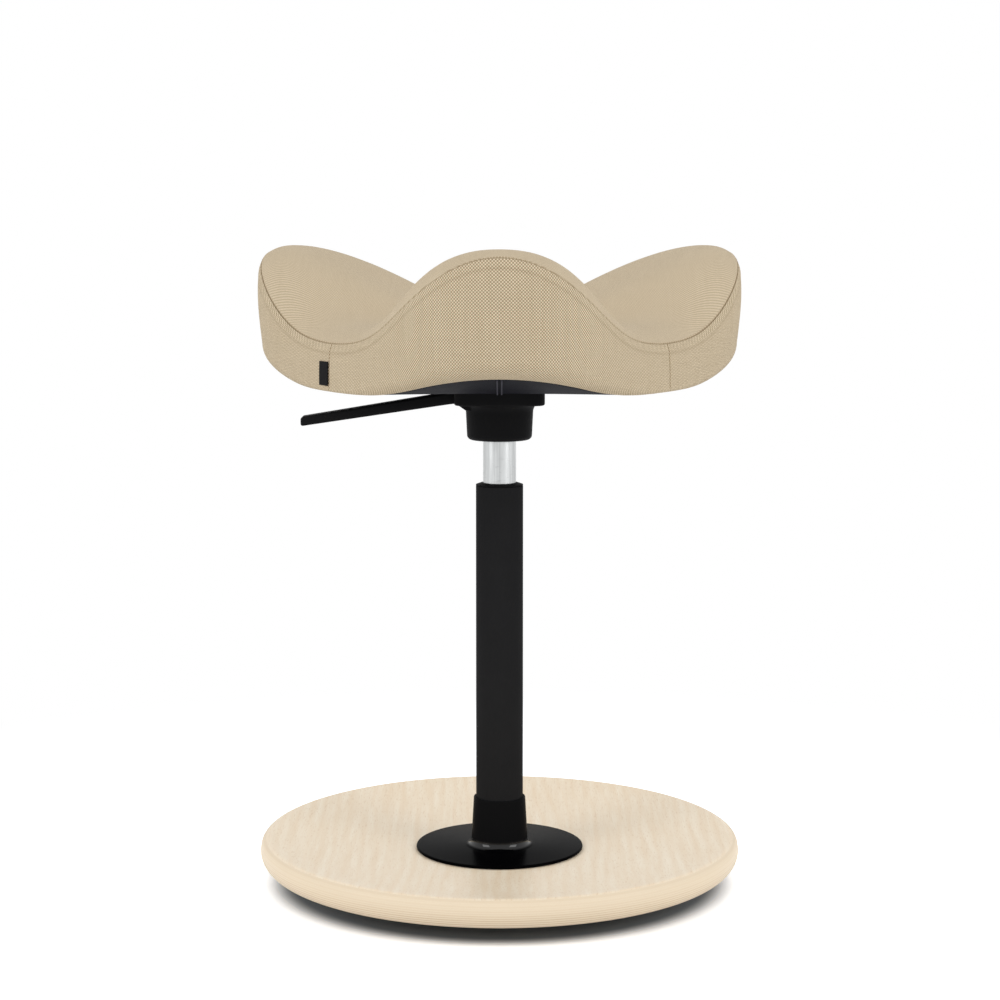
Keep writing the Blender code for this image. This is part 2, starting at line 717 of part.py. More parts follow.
def make_hub_gusset():
    """Sloping floor under the lever's slot, from the plate's left edge down to the neck."""
    low = plate_low - GUSSET_DROP
    inner = -NECK_LOW_RADIUS + NECK_ROUND
    outer = -PLATE_WIDTH / 2 + GUSSET_INSET
    bm = bmesh.new()
    add_bar(bm, [
        (inner, plate_low + PLATE_ROUND), (outer, plate_low + PLATE_ROUND),
        (outer, plate_low + GUSSET_RISE), (-NECK_TOP_RADIUS, low), (inner, low)],
        LEVER_WIDTH + 2 * LEVER_PIN_WALL)
    return new_object("hub_gusset", bm)


def make_lever_cavity():
    """Slot for the lever, open to the left and above, with the pin's bore across it."""
    bm = bmesh.new()
    side = LEVER_WIDTH / 2 + CAVITY_SIDE
    inner_end = lever_x + LEVER_INNER + CAVITY_END
    floor = lever_z - LEVER_THICK / 2 - CAVITY_BELOW
    add_box(bm, (-PLATE_WIDTH, -side, floor), (inner_end, side, shell_low))
    cavity = new_object("lever_cavity", bm)
    pin_end = -side - LEVER_PIN_WALL - GAP
    combine(cavity, make_cross_rod("pin_bore", LEVER_PIN_RADIUS + GAP, pin_end, PLATE_WIDTH), "UNION")
    return cavity


def make_cross_rod(name, radius, start, end, look=None):
    """A round bar along Y through the lever's pivot."""
    bm = bmesh.new()
    spin_profile(bm, rod_profile(radius, start, end), SMALL)
    for vert in bm.verts:
        x, y, z = vert.co
        vert.co = (lever_x + x, z, lever_z - y)
    return new_object(name, bm, look, (lever_x, 0.0, lever_z))


def make_lever():
    """Bar that droops from the hub to its tip, and bends level over the release pin."""
    half = LEVER_THICK / 2
    root = LEVER_ROOT_THICK / 2
    tip = LEVER_TIP_THICK / 2
    bend = -LEVER_BEND
    reach = -(LEVER_REACH - LEVER_PIVOT)
    drop = (reach - bend) * math.tan(LEVER_DROOP)
    level = bend / 2
    outline_points = [
        (LEVER_INNER, half), (level, half), (bend, root), (reach, drop + tip),
        (reach, drop - tip), (bend, -root), (level, -half), (LEVER_INNER, -half)]
    bm = bmesh.new()
    add_bar(bm, [(lever_x + x, lever_z + z) for x, z in outline_points], LEVER_WIDTH)
    lever = new_object("height_lever", bm, BLACK_PLASTIC, (lever_x, 0.0, lever_z))
    edges = lever.modifiers.new("edges", "BEVEL")
    edges.width = LEVER_EDGE_ROUND
    edges.segments = 3
    edges.limit_method = "ANGLE"
    edges.angle_limit = math.radians(40)
    bore = make_cross_rod("lever_bore", LEVER_PIN_RADIUS + RUN_GAP, -LEVER_WIDTH, LEVER_WIDTH)
    combine(lever, bore, "DIFFERENCE")
    weld_cuts(lever)
    side = LEVER_WIDTH / 2 + CAVITY_SIDE
    make_cross_rod(
        "lever_pin", LEVER_PIN_RADIUS, -side - LEVER_PIN_WALL, PLATE_WIDTH / 2 - PLATE_ROUND, ZINC)


def crease_radius(angle):
    """The shell's flat middle is a triangle whose corners stop short of the valleys' rim."""
    corner = shell_edge(FRONT_LOBE + math.pi / LOBES) - CREASE_MARGIN
    flat = corner * math.cos(math.pi / LOBES)
    step = math.tau / LOBES
    off = (angle - FRONT_LOBE + step / 2) % step - step / 2
    return flat / math.cos(off)


def shell_section(angle):
    """Underside from the middle to the rim, then the upper side back to the middle."""
    crease = crease_radius(angle)
    rim = shell_edge(angle)
    low = edge_height(angle)
    half_way = (crease + rim) / 2
    half_height = (shell_low + low) / 2
    top = shell_low + SHELL_THICK
    rim_top = low + SHELL_EDGE_THICK
    return [
        (0.0, shell_low), (crease, shell_low), (half_way, half_height), (rim, low),
        (rim, rim_top), (half_way, (top + rim_top) / 2), (crease, top), (0.0, top)]


def seat_angles():
    return turn_angles(FRONT_LOBE, FRONT_LOBE + math.tau, LOBES * SEAT_STEPS, True)


def make_seat_shell():
    """Moulded shell under the foam: a flat triangle with three wings that rise to the lobes."""
    sections = [placed(shell_section(a), a) for a in seat_angles()]
    shell = skin("seat_shell", sections, SLATE_PLASTIC, True, False)
    recess = shell_low + SHELL_THICK - T_NUT_FLANGE_THICK - GAP
    top = shell_low + 2 * SHELL_THICK
    stepped = [
        (0.0, hub_low), (T_NUT_BARREL + GAP, hub_low), (T_NUT_BARREL + GAP, recess),
        (T_NUT_FLANGE + GAP, recess), (T_NUT_FLANGE + GAP, top), (0.0, top)]
    bm = bmesh.new()
    for place in screw_places():
        spin_profile(bm, stepped, SCREW_FACETS, place)
    combine(shell, new_object("shell_screw_holes", bm), "DIFFERENCE")
    weld_cuts(shell)


def make_seat_screws():
    """Cap screws from below through the hub's plate into T-nuts let into the shell."""
    head_top = plate_low + SCREW_HEAD_HEIGHT + GAP
    head_low = head_top - SCREW_HEAD_HEIGHT
    key = head_low + SOCKET_KEY_DEPTH
    nut_top = shell_low + SHELL_THICK - GAP
    flange_low = nut_top - T_NUT_FLANGE_THICK
    bore = SCREW_RADIUS + GAP
    screw = [
        (0.0, key), (SOCKET_KEY_RADIUS, key), (SOCKET_KEY_RADIUS, head_low),
        (SCREW_HEAD_RADIUS, head_low), (SCREW_HEAD_RADIUS, head_top),
        (SCREW_RADIUS, head_top), (SCREW_RADIUS, flange_low), (0.0, flange_low)]
    nut = [
        (bore, shell_low + GAP), (T_NUT_BARREL, shell_low + GAP), (T_NUT_BARREL, flange_low),
        (T_NUT_FLANGE, flange_low), (T_NUT_FLANGE, nut_top), (bore, nut_top)]
    for k, place in enumerate(screw_places(), 1):
        turned(f"seat_screw_{k}", screw, SCREW_FACETS, ZINC, place)
        turned(f"t_nut_{k}", nut, SCREW_FACETS, ZINC, place)


TOP_SHARES = (0.0, 0.16, 0.32, 0.47, 0.61, 0.74, 0.84, 0.91, 0.95, 0.98, 1.0)
INNER_TOP_SHARES = (0.0, 0.16, 0.32, 0.47, 0.61, 0.74, 0.84, 0.95, 1.0)
SIDE_SHARES = (0.0, 0.06, 0.2, 0.45, 0.72, 1.0)
INNER_SIDE_SHARES = (0.0, 0.2, 0.45, 1.0)


def under_top(angle, depth):
    """The top's section moved down by a depth. Every row starts at one point on the axis."""
    moved = inset(top_section(angle, INNER_TOP_SHARES), depth)
    start = (0.0, top_height(0.0, angle) - depth)
    return [start] + moved[1:-1] + [seam_corner(angle, depth, SEAM_GAP / 2)]


def inside_side(angle, depth):
    """The side band's section moved inwards by a depth, from the seam's corner down."""
    moved = inset(side_section(angle, INNER_SIDE_SHARES, 2), depth)
    return [seam_corner(angle, depth, -SEAM_GAP / 2)] + moved[1:]


def foam_section(angle):
    """The foam fills the cover down to the hem, and rests on the shell."""
    depth = COVER_THICK + GAP
    top = under_top(angle, depth)
    side = inside_side(angle, depth)
    rim = wrap_radius(angle)
    bed = shell_section(angle)
    rim_top = bed[4][1] + GAP
    under = [(rim, side[-1][1]), (rim, rim_top)]
    under += [(r, z + GAP) for r, z in bed[5:]]
    return top[:-1] + side[:-1] + under


def make_cushion():
    """Moulded foam in a sewn cover: one top panel and three side panels, one round each lobe."""
    skin("seat_foam", [placed(foam_section(a), a) for a in seat_angles()], FOAM, True, False)
    sections = []
    for angle in seat_angles():
        outer = top_section(angle, TOP_SHARES)
        inner = under_top(angle, COVER_THICK)
        sections.append(placed(outer + inner[::-1], angle))
    skin("cover_top", sections, TAN_FABRIC, True, False)
    step = math.tau / LOBES
    slack = SEAM_GAP / 2 / VALLEY_RADIUS
    for k in range(LOBES):
        middle = FRONT_LOBE + step * k
        angles = turn_angles(middle - step / 2, middle + step / 2, SEAT_STEPS)
        angles[0] += slack
        angles[-1] -= slack
        sections = []
        for angle in angles:
            outer = side_section(angle, SIDE_SHARES, 3)
            inner = inside_side(angle, COVER_THICK)
            sections.append(placed(outer + inner[::-1], angle))
        skin(f"cover_side_{k + 1}", sections, TAN_FABRIC, False, True)


def make_label_tag():
    """Plain woven tag sewn into the side seam at the front left."""
    seam = FRONT_LOBE - math.pi / LOBES
    turn = TAG_WIDTH / VALLEY_RADIUS
    high = seam_height(seam) - shell_low
    corner = EDGE_VALLEY_HEIGHT + CORNER_VALLEY_ROUND
    heights = (TAG_HIGH, (TAG_HIGH + TAG_LOW) / 2, TAG_LOW)
    shares = [(high - height) / (high - corner) for height in heights]
    sections = []
    for angle in turn_angles(seam - turn, seam, 3):
        face = [side_point(angle, min(share, 1.0)) for share in shares]
        near = inset(face, -GAP)
        far = inset(face, -GAP - TAG_THICK)
        sections.append(placed(far + near[::-1], angle))
    skin("label_tag", sections, BLACK_TAPE, False, True)


def main():
    for obj in list(bpy.data.objects):
        bpy.data.objects.remove(obj, do_unlink=True)
    make_base_disc()
    make_floor_sole()
    make_column_flange()
    make_stud_nuts()
    make_column_tube()
    make_guide_bush()
    make_bearing()
    make_piston_rod()
    make_cylinder()
    make_seat_hub()
    make_lever()
    make_seat_shell()
    make_seat_screws()
    make_cushion()
    make_label_tag()


main()
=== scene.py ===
"""Sit-stand stool, dressed: a tan saddle seat on a gas lift, over a pale dish that rolls.

Metres, +Z up. The origin is on the floor under the middle of the base, and -Y is the front.
"""

import json
import math
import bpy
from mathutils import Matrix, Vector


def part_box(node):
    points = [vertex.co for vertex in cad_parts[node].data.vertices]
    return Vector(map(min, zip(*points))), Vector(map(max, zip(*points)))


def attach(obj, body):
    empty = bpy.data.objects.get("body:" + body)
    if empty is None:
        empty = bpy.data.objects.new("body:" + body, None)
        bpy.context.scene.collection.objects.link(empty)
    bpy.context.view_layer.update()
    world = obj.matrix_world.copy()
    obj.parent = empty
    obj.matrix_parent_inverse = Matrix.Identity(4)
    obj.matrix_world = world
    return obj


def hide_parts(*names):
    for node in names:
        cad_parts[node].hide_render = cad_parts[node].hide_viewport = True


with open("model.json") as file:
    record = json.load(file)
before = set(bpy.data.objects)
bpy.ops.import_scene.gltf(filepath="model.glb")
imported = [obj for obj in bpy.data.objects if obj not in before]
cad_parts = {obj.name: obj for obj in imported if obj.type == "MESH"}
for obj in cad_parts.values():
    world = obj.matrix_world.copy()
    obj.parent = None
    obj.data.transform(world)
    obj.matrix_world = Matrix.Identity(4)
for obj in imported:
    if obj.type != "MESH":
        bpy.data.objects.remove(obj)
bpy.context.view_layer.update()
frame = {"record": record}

from types import SimpleNamespace

import bmesh
import bpy
from mathutils import Matrix, Vector


# Base disc. Beech plies pressed into a shallow dish between two pale veneers, then turned
# to a round. The lacquered edge is sanded soft and shows the plies, and four holes let the
# flange's studs through to the pockets of their nuts.

class Flow:
    """One output of a node. Python's operators on it add Math nodes."""

    def __init__(self, graph, socket):
        self.graph, self.socket = graph, socket

    def math(self, operation, *others):
        return self.graph.math(operation, self, *others)

    def also(self, output):
        """Another output of the same node."""
        return Flow(self.graph, self.socket.node.outputs[output])

    def split(self):
        parts = self.graph.add("ShaderNodeSeparateXYZ", {}, {0: self})
        return parts, parts.also(1), parts.also(2)

    def __add__(self, other):
        return self.math("ADD", other)

    def __sub__(self, other):
        return self.math("SUBTRACT", other)

    def __rsub__(self, other):
        return self.graph.math("SUBTRACT", other, self)

    def __mul__(self, other):
        return self.math("MULTIPLY", other)

    def __truediv__(self, other):
        return self.math("DIVIDE", other)

    def __rtruediv__(self, other):
        return self.graph.math("DIVIDE", other, self)

    def __pow__(self, other):
        return self.math("POWER", other)

    def __rpow__(self, other):
        return self.graph.math("POWER", other, self)

    def __neg__(self):
        return self * -1.0

    __radd__ = __add__
    __rmul__ = __mul__


class Graph:
    """A node tree. Each node is added by its type, its settings, then its inputs."""

    def __init__(self, tree):
        self.tree = tree

    def add(self, kind, settings, inputs, output=0):
        node = self.tree.nodes.new(kind)
        for name, value in settings.items():
            setattr(node, name, value)
        for name, value in inputs.items():
            self.feed(node.inputs[name], value)
        return Flow(self, node.outputs[output]) if node.outputs else None

    def feed(self, socket, value):
        if isinstance(value, Flow):
            self.tree.links.new(value.socket, socket)
        else:
            socket.default_value = value

    def math(self, operation, *values):
        return self.add("ShaderNodeMath", {"operation": operation}, dict(enumerate(values)))

    def vector(self, operation, *values, output=0):
        return self.add(
            "ShaderNodeVectorMath", {"operation": operation}, dict(enumerate(values)), output)

    def point(self, x, y, z):
        return self.add("ShaderNodeCombineXYZ", {}, {0: x, 1: y, 2: z})

    def ease(self, value, start, end, low=0.0, high=1.0):
        """Rises smoothly from low to high as the value goes from start to end."""
        return self.add(
            "ShaderNodeMapRange", {"interpolation_type": "SMOOTHSTEP"},
            {0: value, 1: start, 2: end, 3: low, 4: high})

    def noise(self, place, scale, detail=2.0, roughness=0.5):
        return self.add(
            "ShaderNodeTexNoise", {},
            {"Vector": place, "Scale": scale, "Detail": detail, "Roughness": roughness})


class Finish(Graph):
    """A material. Plain values go straight on the shader's own sockets."""

    def __init__(self, name, values):
        self.material = bpy.data.materials.new(name)
        self.material.use_nodes = True
        super().__init__(self.material.node_tree)
        self.shader = self.tree.nodes["Principled BSDF"]
        self.wear(values)

    def wear(self, values):
        for name, value in values.items():
            self.feed(self.shader.inputs[name], value)

    def place(self):
        """The point on the surface, in the object's own metres."""
        return self.add("ShaderNodeTexCoord", {}, {}, "Object")

    def stretched(self, x, y, z):
        """The point on the surface, scaled along each axis."""
        return self.vector("MULTIPLY", self.place(), (x, y, z))

    def mix(self, share, first, second):
        return self.add("ShaderNodeMix", {"data_type": "RGBA"}, {0: share, 6: first, 7: second}, 2)

    def layered(self, colour, *layers):
        """The colour under layers, each a share and a screen colour."""
        for share, screen in layers:
            colour = self.mix(share, colour, swatch(*screen))
        return colour

    def bump(self, height, distance):
        return self.add("ShaderNodeBump", {}, {"Height": height, "Distance": distance})


def swatch(red, green, blue):
    """Linear colour of a screen colour given from 0 to 255."""
    shares = [value / 255 for value in (red, green, blue)]
    return (*(s / 12.92 if s < 0.04045 else ((s + 0.055) / 1.055) ** 2.4 for s in shares), 1.0)


def smooth(mesh):
    """Shades the mesh smooth apart from its corners."""
    mesh.shade_smooth()
    mesh.set_sharp_from_angle(angle=math.radians(35))


def new_piece(name, bm, finish):
    """Makes the mesh a piece, with its faces outwards."""
    bmesh.ops.remove_doubles(bm, verts=bm.verts, dist=1e-6)
    bmesh.ops.recalc_face_normals(bm, faces=bm.faces)
    mesh = bpy.data.meshes.new(name)
    bm.to_mesh(mesh)
    bm.free()
    smooth(mesh)
    mesh.materials.append(finish.material)
    piece = bpy.data.objects.new(name, mesh)
    bpy.context.scene.collection.objects.link(piece)
    return piece


def rounded(points, steps=5):
    """A closed profile of (radius, height, rounding) corners, with each corner rounded."""
    made = []
    for k, (r, z, rounding) in enumerate(points):
        here = Vector((r, z))
        if not rounding:
            made.append(here)
            continue
        back = (Vector(points[k - 1][:2]) - here).normalized()
        ahead = (Vector(points[(k + 1) % len(points)][:2]) - here).normalized()
        half = back.angle(ahead) / 2
        start = here + back * (rounding / math.tan(half))
        middle = here + (back + ahead).normalized() * (rounding / math.sin(half))
        sweep = math.copysign(math.pi - 2 * half, back.cross(ahead))
        for step in range(steps + 1):
            made.append(middle + Matrix.Rotation(-sweep * step / steps, 2) @ (start - middle))
    return [tuple(point) for point in made]


def spin_into(bm, profile, steps, x=0.0, y=0.0):
    """Turns a profile about an upright axis. It closes on itself unless it starts on the axis."""
    verts = [bm.verts.new((x + r, y, z)) for r, z in profile]
    edges = [bm.edges.new(pair) for pair in zip(verts, verts[1:])]
    if profile[0][0] > 0:
        edges.append(bm.edges.new((verts[-1], verts[0])))
    bmesh.ops.spin(
        bm, geom=verts + edges, cent=(x, y, 0.0), axis=(0.0, 0.0, 1.0),
        angle=math.tau, steps=steps, use_merge=True)


def turned(name, profile, steps, finish, places=((0.0, 0.0),)):
    """One piece with the turned shape at each place."""
    bm = bmesh.new()
    for place in places:
        spin_into(bm, profile, steps, *place)
    return new_piece(name, bm, finish)


def keep_shape(piece):
    """Replaces the piece's mesh by what its modifiers make of it."""
    graph = bpy.context.evaluated_depsgraph_get()
    mesh = bpy.data.meshes.new_from_object(
        piece.evaluated_get(graph), preserve_all_data_layers=True, depsgraph=graph)
    piece.modifiers.clear()
    piece.data = mesh


def combine(piece, other, operation):
    """Cuts the piece with another one, or joins them, and removes the other."""
    modifier = piece.modifiers.new("cut", "BOOLEAN")
    modifier.operation = operation
    modifier.solver = "EXACT"
    modifier.object = other
    keep_shape(piece)
    bpy.data.objects.remove(other)
    bm = bmesh.new()
    bm.from_mesh(piece.data)
    bmesh.ops.remove_doubles(bm, verts=bm.verts, dist=0.00001)
    bm.to_mesh(piece.data)
    bm.free()
    smooth(piece.data)


def diagonals(radius):
    """Four places on a circle, halfway between the axes."""
    turns = [math.tau * (1 / 8 + k / 4) for k in range(4)]
    return [(radius * math.cos(turn), radius * math.sin(turn)) for turn in turns]


def stand_for(piece, *nodes):
    """Puts the piece in the place of CAD nodes, on their body."""
    record = frame["record"]
    bodies = record["behaviour"]["bodies"]
    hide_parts(*nodes)
    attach(piece, next(body for body, held in bodies.items() if nodes[0] in held))


GAP = 0.0003
BOARD_THICK = 0.0235
DISH_RADIUS = 1.25
RIM_TOP_ROUND = 0.007
RIM_LOW_ROUND = 0.014
STUD_CIRCLE = 0.050
STUD_RADIUS = 0.003
POCKET_RADIUS = 0.011
POCKET_DEPTH = 0.010
PLY_PITCH = 0.0018
PLY_LINE = 0.00016
FACE_VENEER = 0.0009
BACK_VENEER = 0.0006

disc_low, disc_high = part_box("base_disc")
BASE_RADIUS = disc_high.x
board_low = disc_low.z
dish_centre = board_low + BOARD_THICK + DISH_RADIUS


def dish_height(r, depth=0.0):
    """Height of the dish at a distance from the axis, and at a depth under its top face."""
    return dish_centre - math.sqrt((DISH_RADIUS + depth) ** 2 - r * r)


veneer = Finish("lacquered_veneer", {
    "Specular IOR Level": 0.2, "Coat Weight": 0.06, "Coat Roughness": 0.35})
fibres = veneer.noise(veneer.stretched(1.0, 0.03, 0.6), 1500.0, 3.0, 0.6)
streaks = veneer.noise(veneer.stretched(1.0, 0.05, 0.5), 190.0, 3.0, 0.55)
drift = veneer.noise(veneer.stretched(1.0, 0.45, 1.0), 7.0, 2.0, 0.5)
rings = ((veneer.place().split()[0] * 560.0 + drift * 26.0).math("SINE") * 0.5 + 0.5) ** 2.0
flecks = veneer.noise(veneer.stretched(1.0, 0.16, 0.16), 900.0, 1.0, 0.4)
grain = veneer.layered(
    swatch(246, 227, 199), (veneer.ease(streaks, 0.2, 0.8), (254, 241, 219)),
    (rings * 0.22, (241, 214, 178)), (veneer.ease(flecks, 0.58, 0.74) * 0.30, (217, 185, 145)),
    (veneer.ease(fibres, 0.35, 0.75) * 0.19, (226, 197, 159)))
below = veneer.vector("DISTANCE", veneer.place(), (0.0, 0.0, dish_centre), output=1) - DISH_RADIUS
wander = veneer.noise(veneer.stretched(1.0, 1.0, 3.0), 34.0, 2.0, 0.5) * 0.0005
ply = (below + wander).math("WRAP", PLY_PITCH, 0.0)
glue = 1.0 - veneer.ease((ply - PLY_PITCH / 2).math("ABSOLUTE"), PLY_LINE / 2, PLY_LINE * 1.6)
glue = glue * veneer.ease(below, 0.006, BOARD_THICK - 0.003, 0.1, 1.0)
ply_number = ((below + wander) / PLY_PITCH).math("FLOOR")
cross = veneer.ease((ply_number * 0.5).math("FRACT"), 0.2, 0.3)
inside = veneer.ease(below, FACE_VENEER, FACE_VENEER + 0.0005)
inside = inside * (1.0 - veneer.ease(below, BOARD_THICK - BACK_VENEER, BOARD_THICK))
end_grain = veneer.noise(veneer.stretched(1.0, 1.0, 2.0), 1100.0, 2.0, 0.6)
edge = veneer.layered(
    swatch(240, 223, 197), (cross * 0.30, (234, 214, 184)),
    (veneer.ease(end_grain, 0.4, 0.8) * 0.22, (226, 201, 165)), (glue * 0.8, (204, 168, 122)))
veneer.wear({
    "Base Color": veneer.mix(inside, grain, edge),
    "Roughness": 0.36 + streaks * 0.12 + inside * 0.06,
    "Normal": veneer.bump(fibres * 0.6 + streaks * 0.4 - glue * inside * 0.9, 0.00005)})

slope = math.asin(BASE_RADIUS / DISH_RADIUS)
along = Vector((math.cos(slope), math.sin(slope)))
square = Vector((-math.sin(slope), math.cos(slope)))
rim = BASE_RADIUS - RIM_TOP_ROUND * along.x + (BOARD_THICK - RIM_LOW_ROUND) * square.x
shoulder = Vector((rim, dish_height(rim)))
high = shoulder - square * RIM_TOP_ROUND
low = shoulder + along * (RIM_TOP_ROUND - RIM_LOW_ROUND) - square * (BOARD_THICK - RIM_LOW_ROUND)


def fan(centre, radius, start, end, steps):
    """Points on an arc in the (radius, height) plane, between two angles in radians."""
    angles = [start + (end - start) * k / steps for k in range(steps + 1)]
    return [(centre[0] + radius * math.cos(a), centre[1] + radius * math.sin(a)) for a in angles]


under_start = low.x - square.x * RIM_LOW_ROUND
disc_profile = [(rim * k / 24, dish_height(rim * k / 24)) for k in range(24)]
disc_profile += fan(high, RIM_TOP_ROUND, math.pi / 2 + slope, slope, 12)
disc_profile += fan(low, RIM_LOW_ROUND, slope, slope - math.pi / 2, 16)
disc_profile += [
    (under_start * k / 20, dish_height(under_start * k / 20, BOARD_THICK))
    for k in range(19, -1, -1)]
disc = turned("plywood_dish", disc_profile, 256, veneer)
pocket_roof = board_low + POCKET_DEPTH
stud_hole = STUD_RADIUS + GAP
combine(disc, turned("pockets", [
    (0.0, 0.0), (POCKET_RADIUS, 0.0), (POCKET_RADIUS, pocket_roof), (stud_hole, pocket_roof),
    (stud_hole, BOARD_THICK * 2), (0.0, BOARD_THICK * 2)], 48, veneer, diagonals(STUD_CIRCLE)),
    "DIFFERENCE")
stand_for(disc, "base_disc")


# Floor sole. A moulded rubber skin bonded under the dish, with a flat foot in the middle
# that it stands on and shallow ring grooves that grip as the stool rolls.

SOLE_THICK = 0.0017
FOOT_RADIUS = 0.030
SOLE_EDGE = 0.0006
GROOVE_DEPTH = 0.0005
GROOVE_COUNT = 9
GROOVE_MOUTH = 0.0018
GROOVE_FLOOR = 0.0012

rubber = Finish("moulded_rubber", {"Specular IOR Level": 0.35})
dust = rubber.noise(rubber.place(), 26.0, 3.0, 0.6)
pores = rubber.noise(rubber.place(), 1400.0, 2.0, 0.6)
rubber.wear({
    "Base Color": rubber.mix(rubber.ease(dust, 0.45, 0.8), swatch(32, 32, 33), swatch(52, 51, 50)),
    "Roughness": 0.72 + dust * 0.2,
    "Normal": rubber.bump(pores, 0.00012)})

sole_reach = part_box("floor_sole")[1].x
full_depth = BOARD_THICK + GAP + SOLE_THICK
lift = dish_height(FOOT_RADIUS, full_depth)
sole_profile = [(0.0, 0.0), (FOOT_RADIUS, 0.0)]
groove_step = (sole_reach - FOOT_RADIUS) / (GROOVE_COUNT + 1)
for k in range(1, GROOVE_COUNT + 1):
    centre = FOOT_RADIUS + groove_step * k
    for offset, depth in (
            (-GROOVE_MOUTH, 0.0), (-GROOVE_FLOOR, GROOVE_DEPTH), (GROOVE_FLOOR, GROOVE_DEPTH),
            (GROOVE_MOUTH, 0.0)):
        r = centre + offset
        sole_profile.append((r, dish_height(r, full_depth) - lift + depth))
edge_low = dish_height(sole_reach, full_depth) - lift
sole_profile += [(sole_reach - SOLE_EDGE, edge_low), (sole_reach, edge_low + SOLE_EDGE)]
sole_profile += [
    (sole_reach * k / 16, dish_height(sole_reach * k / 16, BOARD_THICK + GAP))
    for k in range(16, -1, -1)]
stand_for(turned("rubber_sole", sole_profile, 192, rubber), "floor_sole")


# Column flange. A spun steel plate with a tapering collar welded round the tube, and four
# studs welded under it. It is powder coated satin black together with the tube.

FLANGE_RADIUS = 0.0712
FLANGE_EDGE = 0.0025
COLLAR_TOP_RADIUS = 0.0220
COLLAR_FOOT_RADIUS = 0.0243
COLLAR_FILLET = 0.0058
TUBE_RADIUS = 0.020
WASHER_THICK = 0.0016
NUT_HEIGHT = 0.005
STUD_PROUD = 0.0004
STUD_PLAIN = 0.0015
THREAD_PITCH = 0.0005
THREAD_DEPTH = 0.0003


def black_coat(name, roughness):
    """A black powder coat with a fine orange peel but no colour yet, and its slow haze."""
    coat = Finish(name, {"Specular IOR Level": 0.0055})
    peel = coat.noise(coat.place(), 620.0, 2.0, 0.5)
    haze = coat.noise(coat.place(), 40.0, 3.0, 0.6)
    coat.wear({"Roughness": roughness + haze * 0.10, "Normal": coat.bump(peel, 0.00004)})
    return coat, haze


def thread(radius, start, end):
    """The threaded part of a profile, between two heights."""
    count = int((end - start) / THREAD_PITCH)
    return [(radius - THREAD_DEPTH * (k % 2), start + THREAD_PITCH * k) for k in range(count)]


flange_top = dish_height(FLANGE_RADIUS) + GAP + FLANGE_EDGE
collar_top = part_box("column_flange")[1].z
powder, _ = black_coat("satin_powder_coat", 0.20)
height = powder.place().split()[2] - flange_top
# Painted shade: the plate's upward face gets a darker base colour than the collar, though one coat
# covers both.
on_collar = powder.ease(height, 0.001, 0.006)
pooled = powder.ease(height, 0.0003, 0.0020) - powder.ease(height, 0.0040, 0.0075)
powder.wear({
    "Base Color": powder.mix(on_collar, swatch(4, 4, 5), swatch(20, 20, 21)),
    "Coat Weight": pooled * 0.8})
bore = TUBE_RADIUS + GAP
bed = [(bore + (FLANGE_RADIUS - bore) * k / 12) for k in range(13)]
flange_profile = [(r, dish_height(r) + GAP) for r in bed[:-1]]
flange_profile += rounded([
    (FLANGE_RADIUS, dish_height(FLANGE_RADIUS) + GAP, 0.0003), (FLANGE_RADIUS, flange_top, 0.0012),
    (COLLAR_FOOT_RADIUS, flange_top, COLLAR_FILLET), (COLLAR_TOP_RADIUS, collar_top, 0.0010),
    (bore, collar_top, 0.0002)])
flange = turned("flange_and_collar", flange_profile, 160, powder)
stud_low = pocket_roof - 2 * GAP - WASHER_THICK - NUT_HEIGHT - STUD_PROUD
stud = [(0.0, stud_low), (STUD_RADIUS - 0.0005, stud_low)]
stud += thread(STUD_RADIUS, stud_low + THREAD_PITCH, flange_top - STUD_PLAIN)
stud += [(STUD_RADIUS, flange_top - FLANGE_EDGE / 2), (0.0, flange_top - FLANGE_EDGE / 2)]
combine(flange, turned("studs", stud, 24, powder, diagonals(STUD_CIRCLE)), "UNION")
stand_for(flange, "column_flange")


# Nuts and washers. Zinc-plated flange nuts on plain washers, one on each stud, in the
# pockets under the board. The sole covers them once they are tight.

class Recipe(Graph):
    """A Geometry Nodes tree with named inputs, which ends in real mesh with its material."""

    def __init__(self, name, inputs):
        super().__init__(bpy.data.node_groups.new(name, "GeometryNodeTree"))
        for label, kind in inputs.items():
            self.tree.interface.new_socket(label, in_out="INPUT", socket_type="NodeSocket" + kind)
        self.tree.interface.new_socket("Mesh", in_out="OUTPUT", socket_type="NodeSocketGeometry")
        self.sizes = self.add("NodeGroupInput", {}, {})

    def given(self, label):
        return self.sizes.also(label)

    def around(self, radius, turn, height=0.0):
        """A point at a distance and a turn round the axis."""
        return self.point(radius * turn.math("COSINE"), radius * turn.math("SINE"), height)

    def close(self, geometry):
        whole = self.add("GeometryNodeRealizeInstances", {}, {"Geometry": geometry})
        dressed = self.add(
            "GeometryNodeSetMaterial", {},
            {"Geometry": whole, "Material": self.given("Material")})
        self.add("NodeGroupOutput", {}, {"Mesh": dressed})

    def make(self, name, values):
        """Runs the tree with these values, and keeps what it makes as a plain mesh."""
        piece = bpy.data.objects.new(name, bpy.data.meshes.new(name))
        bpy.context.scene.collection.objects.link(piece)
        modifier = piece.modifiers.new("recipe", "NODES")
        modifier.node_group = self.tree
        for item in self.tree.interface.items_tree:
            if item.in_out == "INPUT":
                modifier[item.identifier] = values[item.name]
        keep_shape(piece)
        return piece


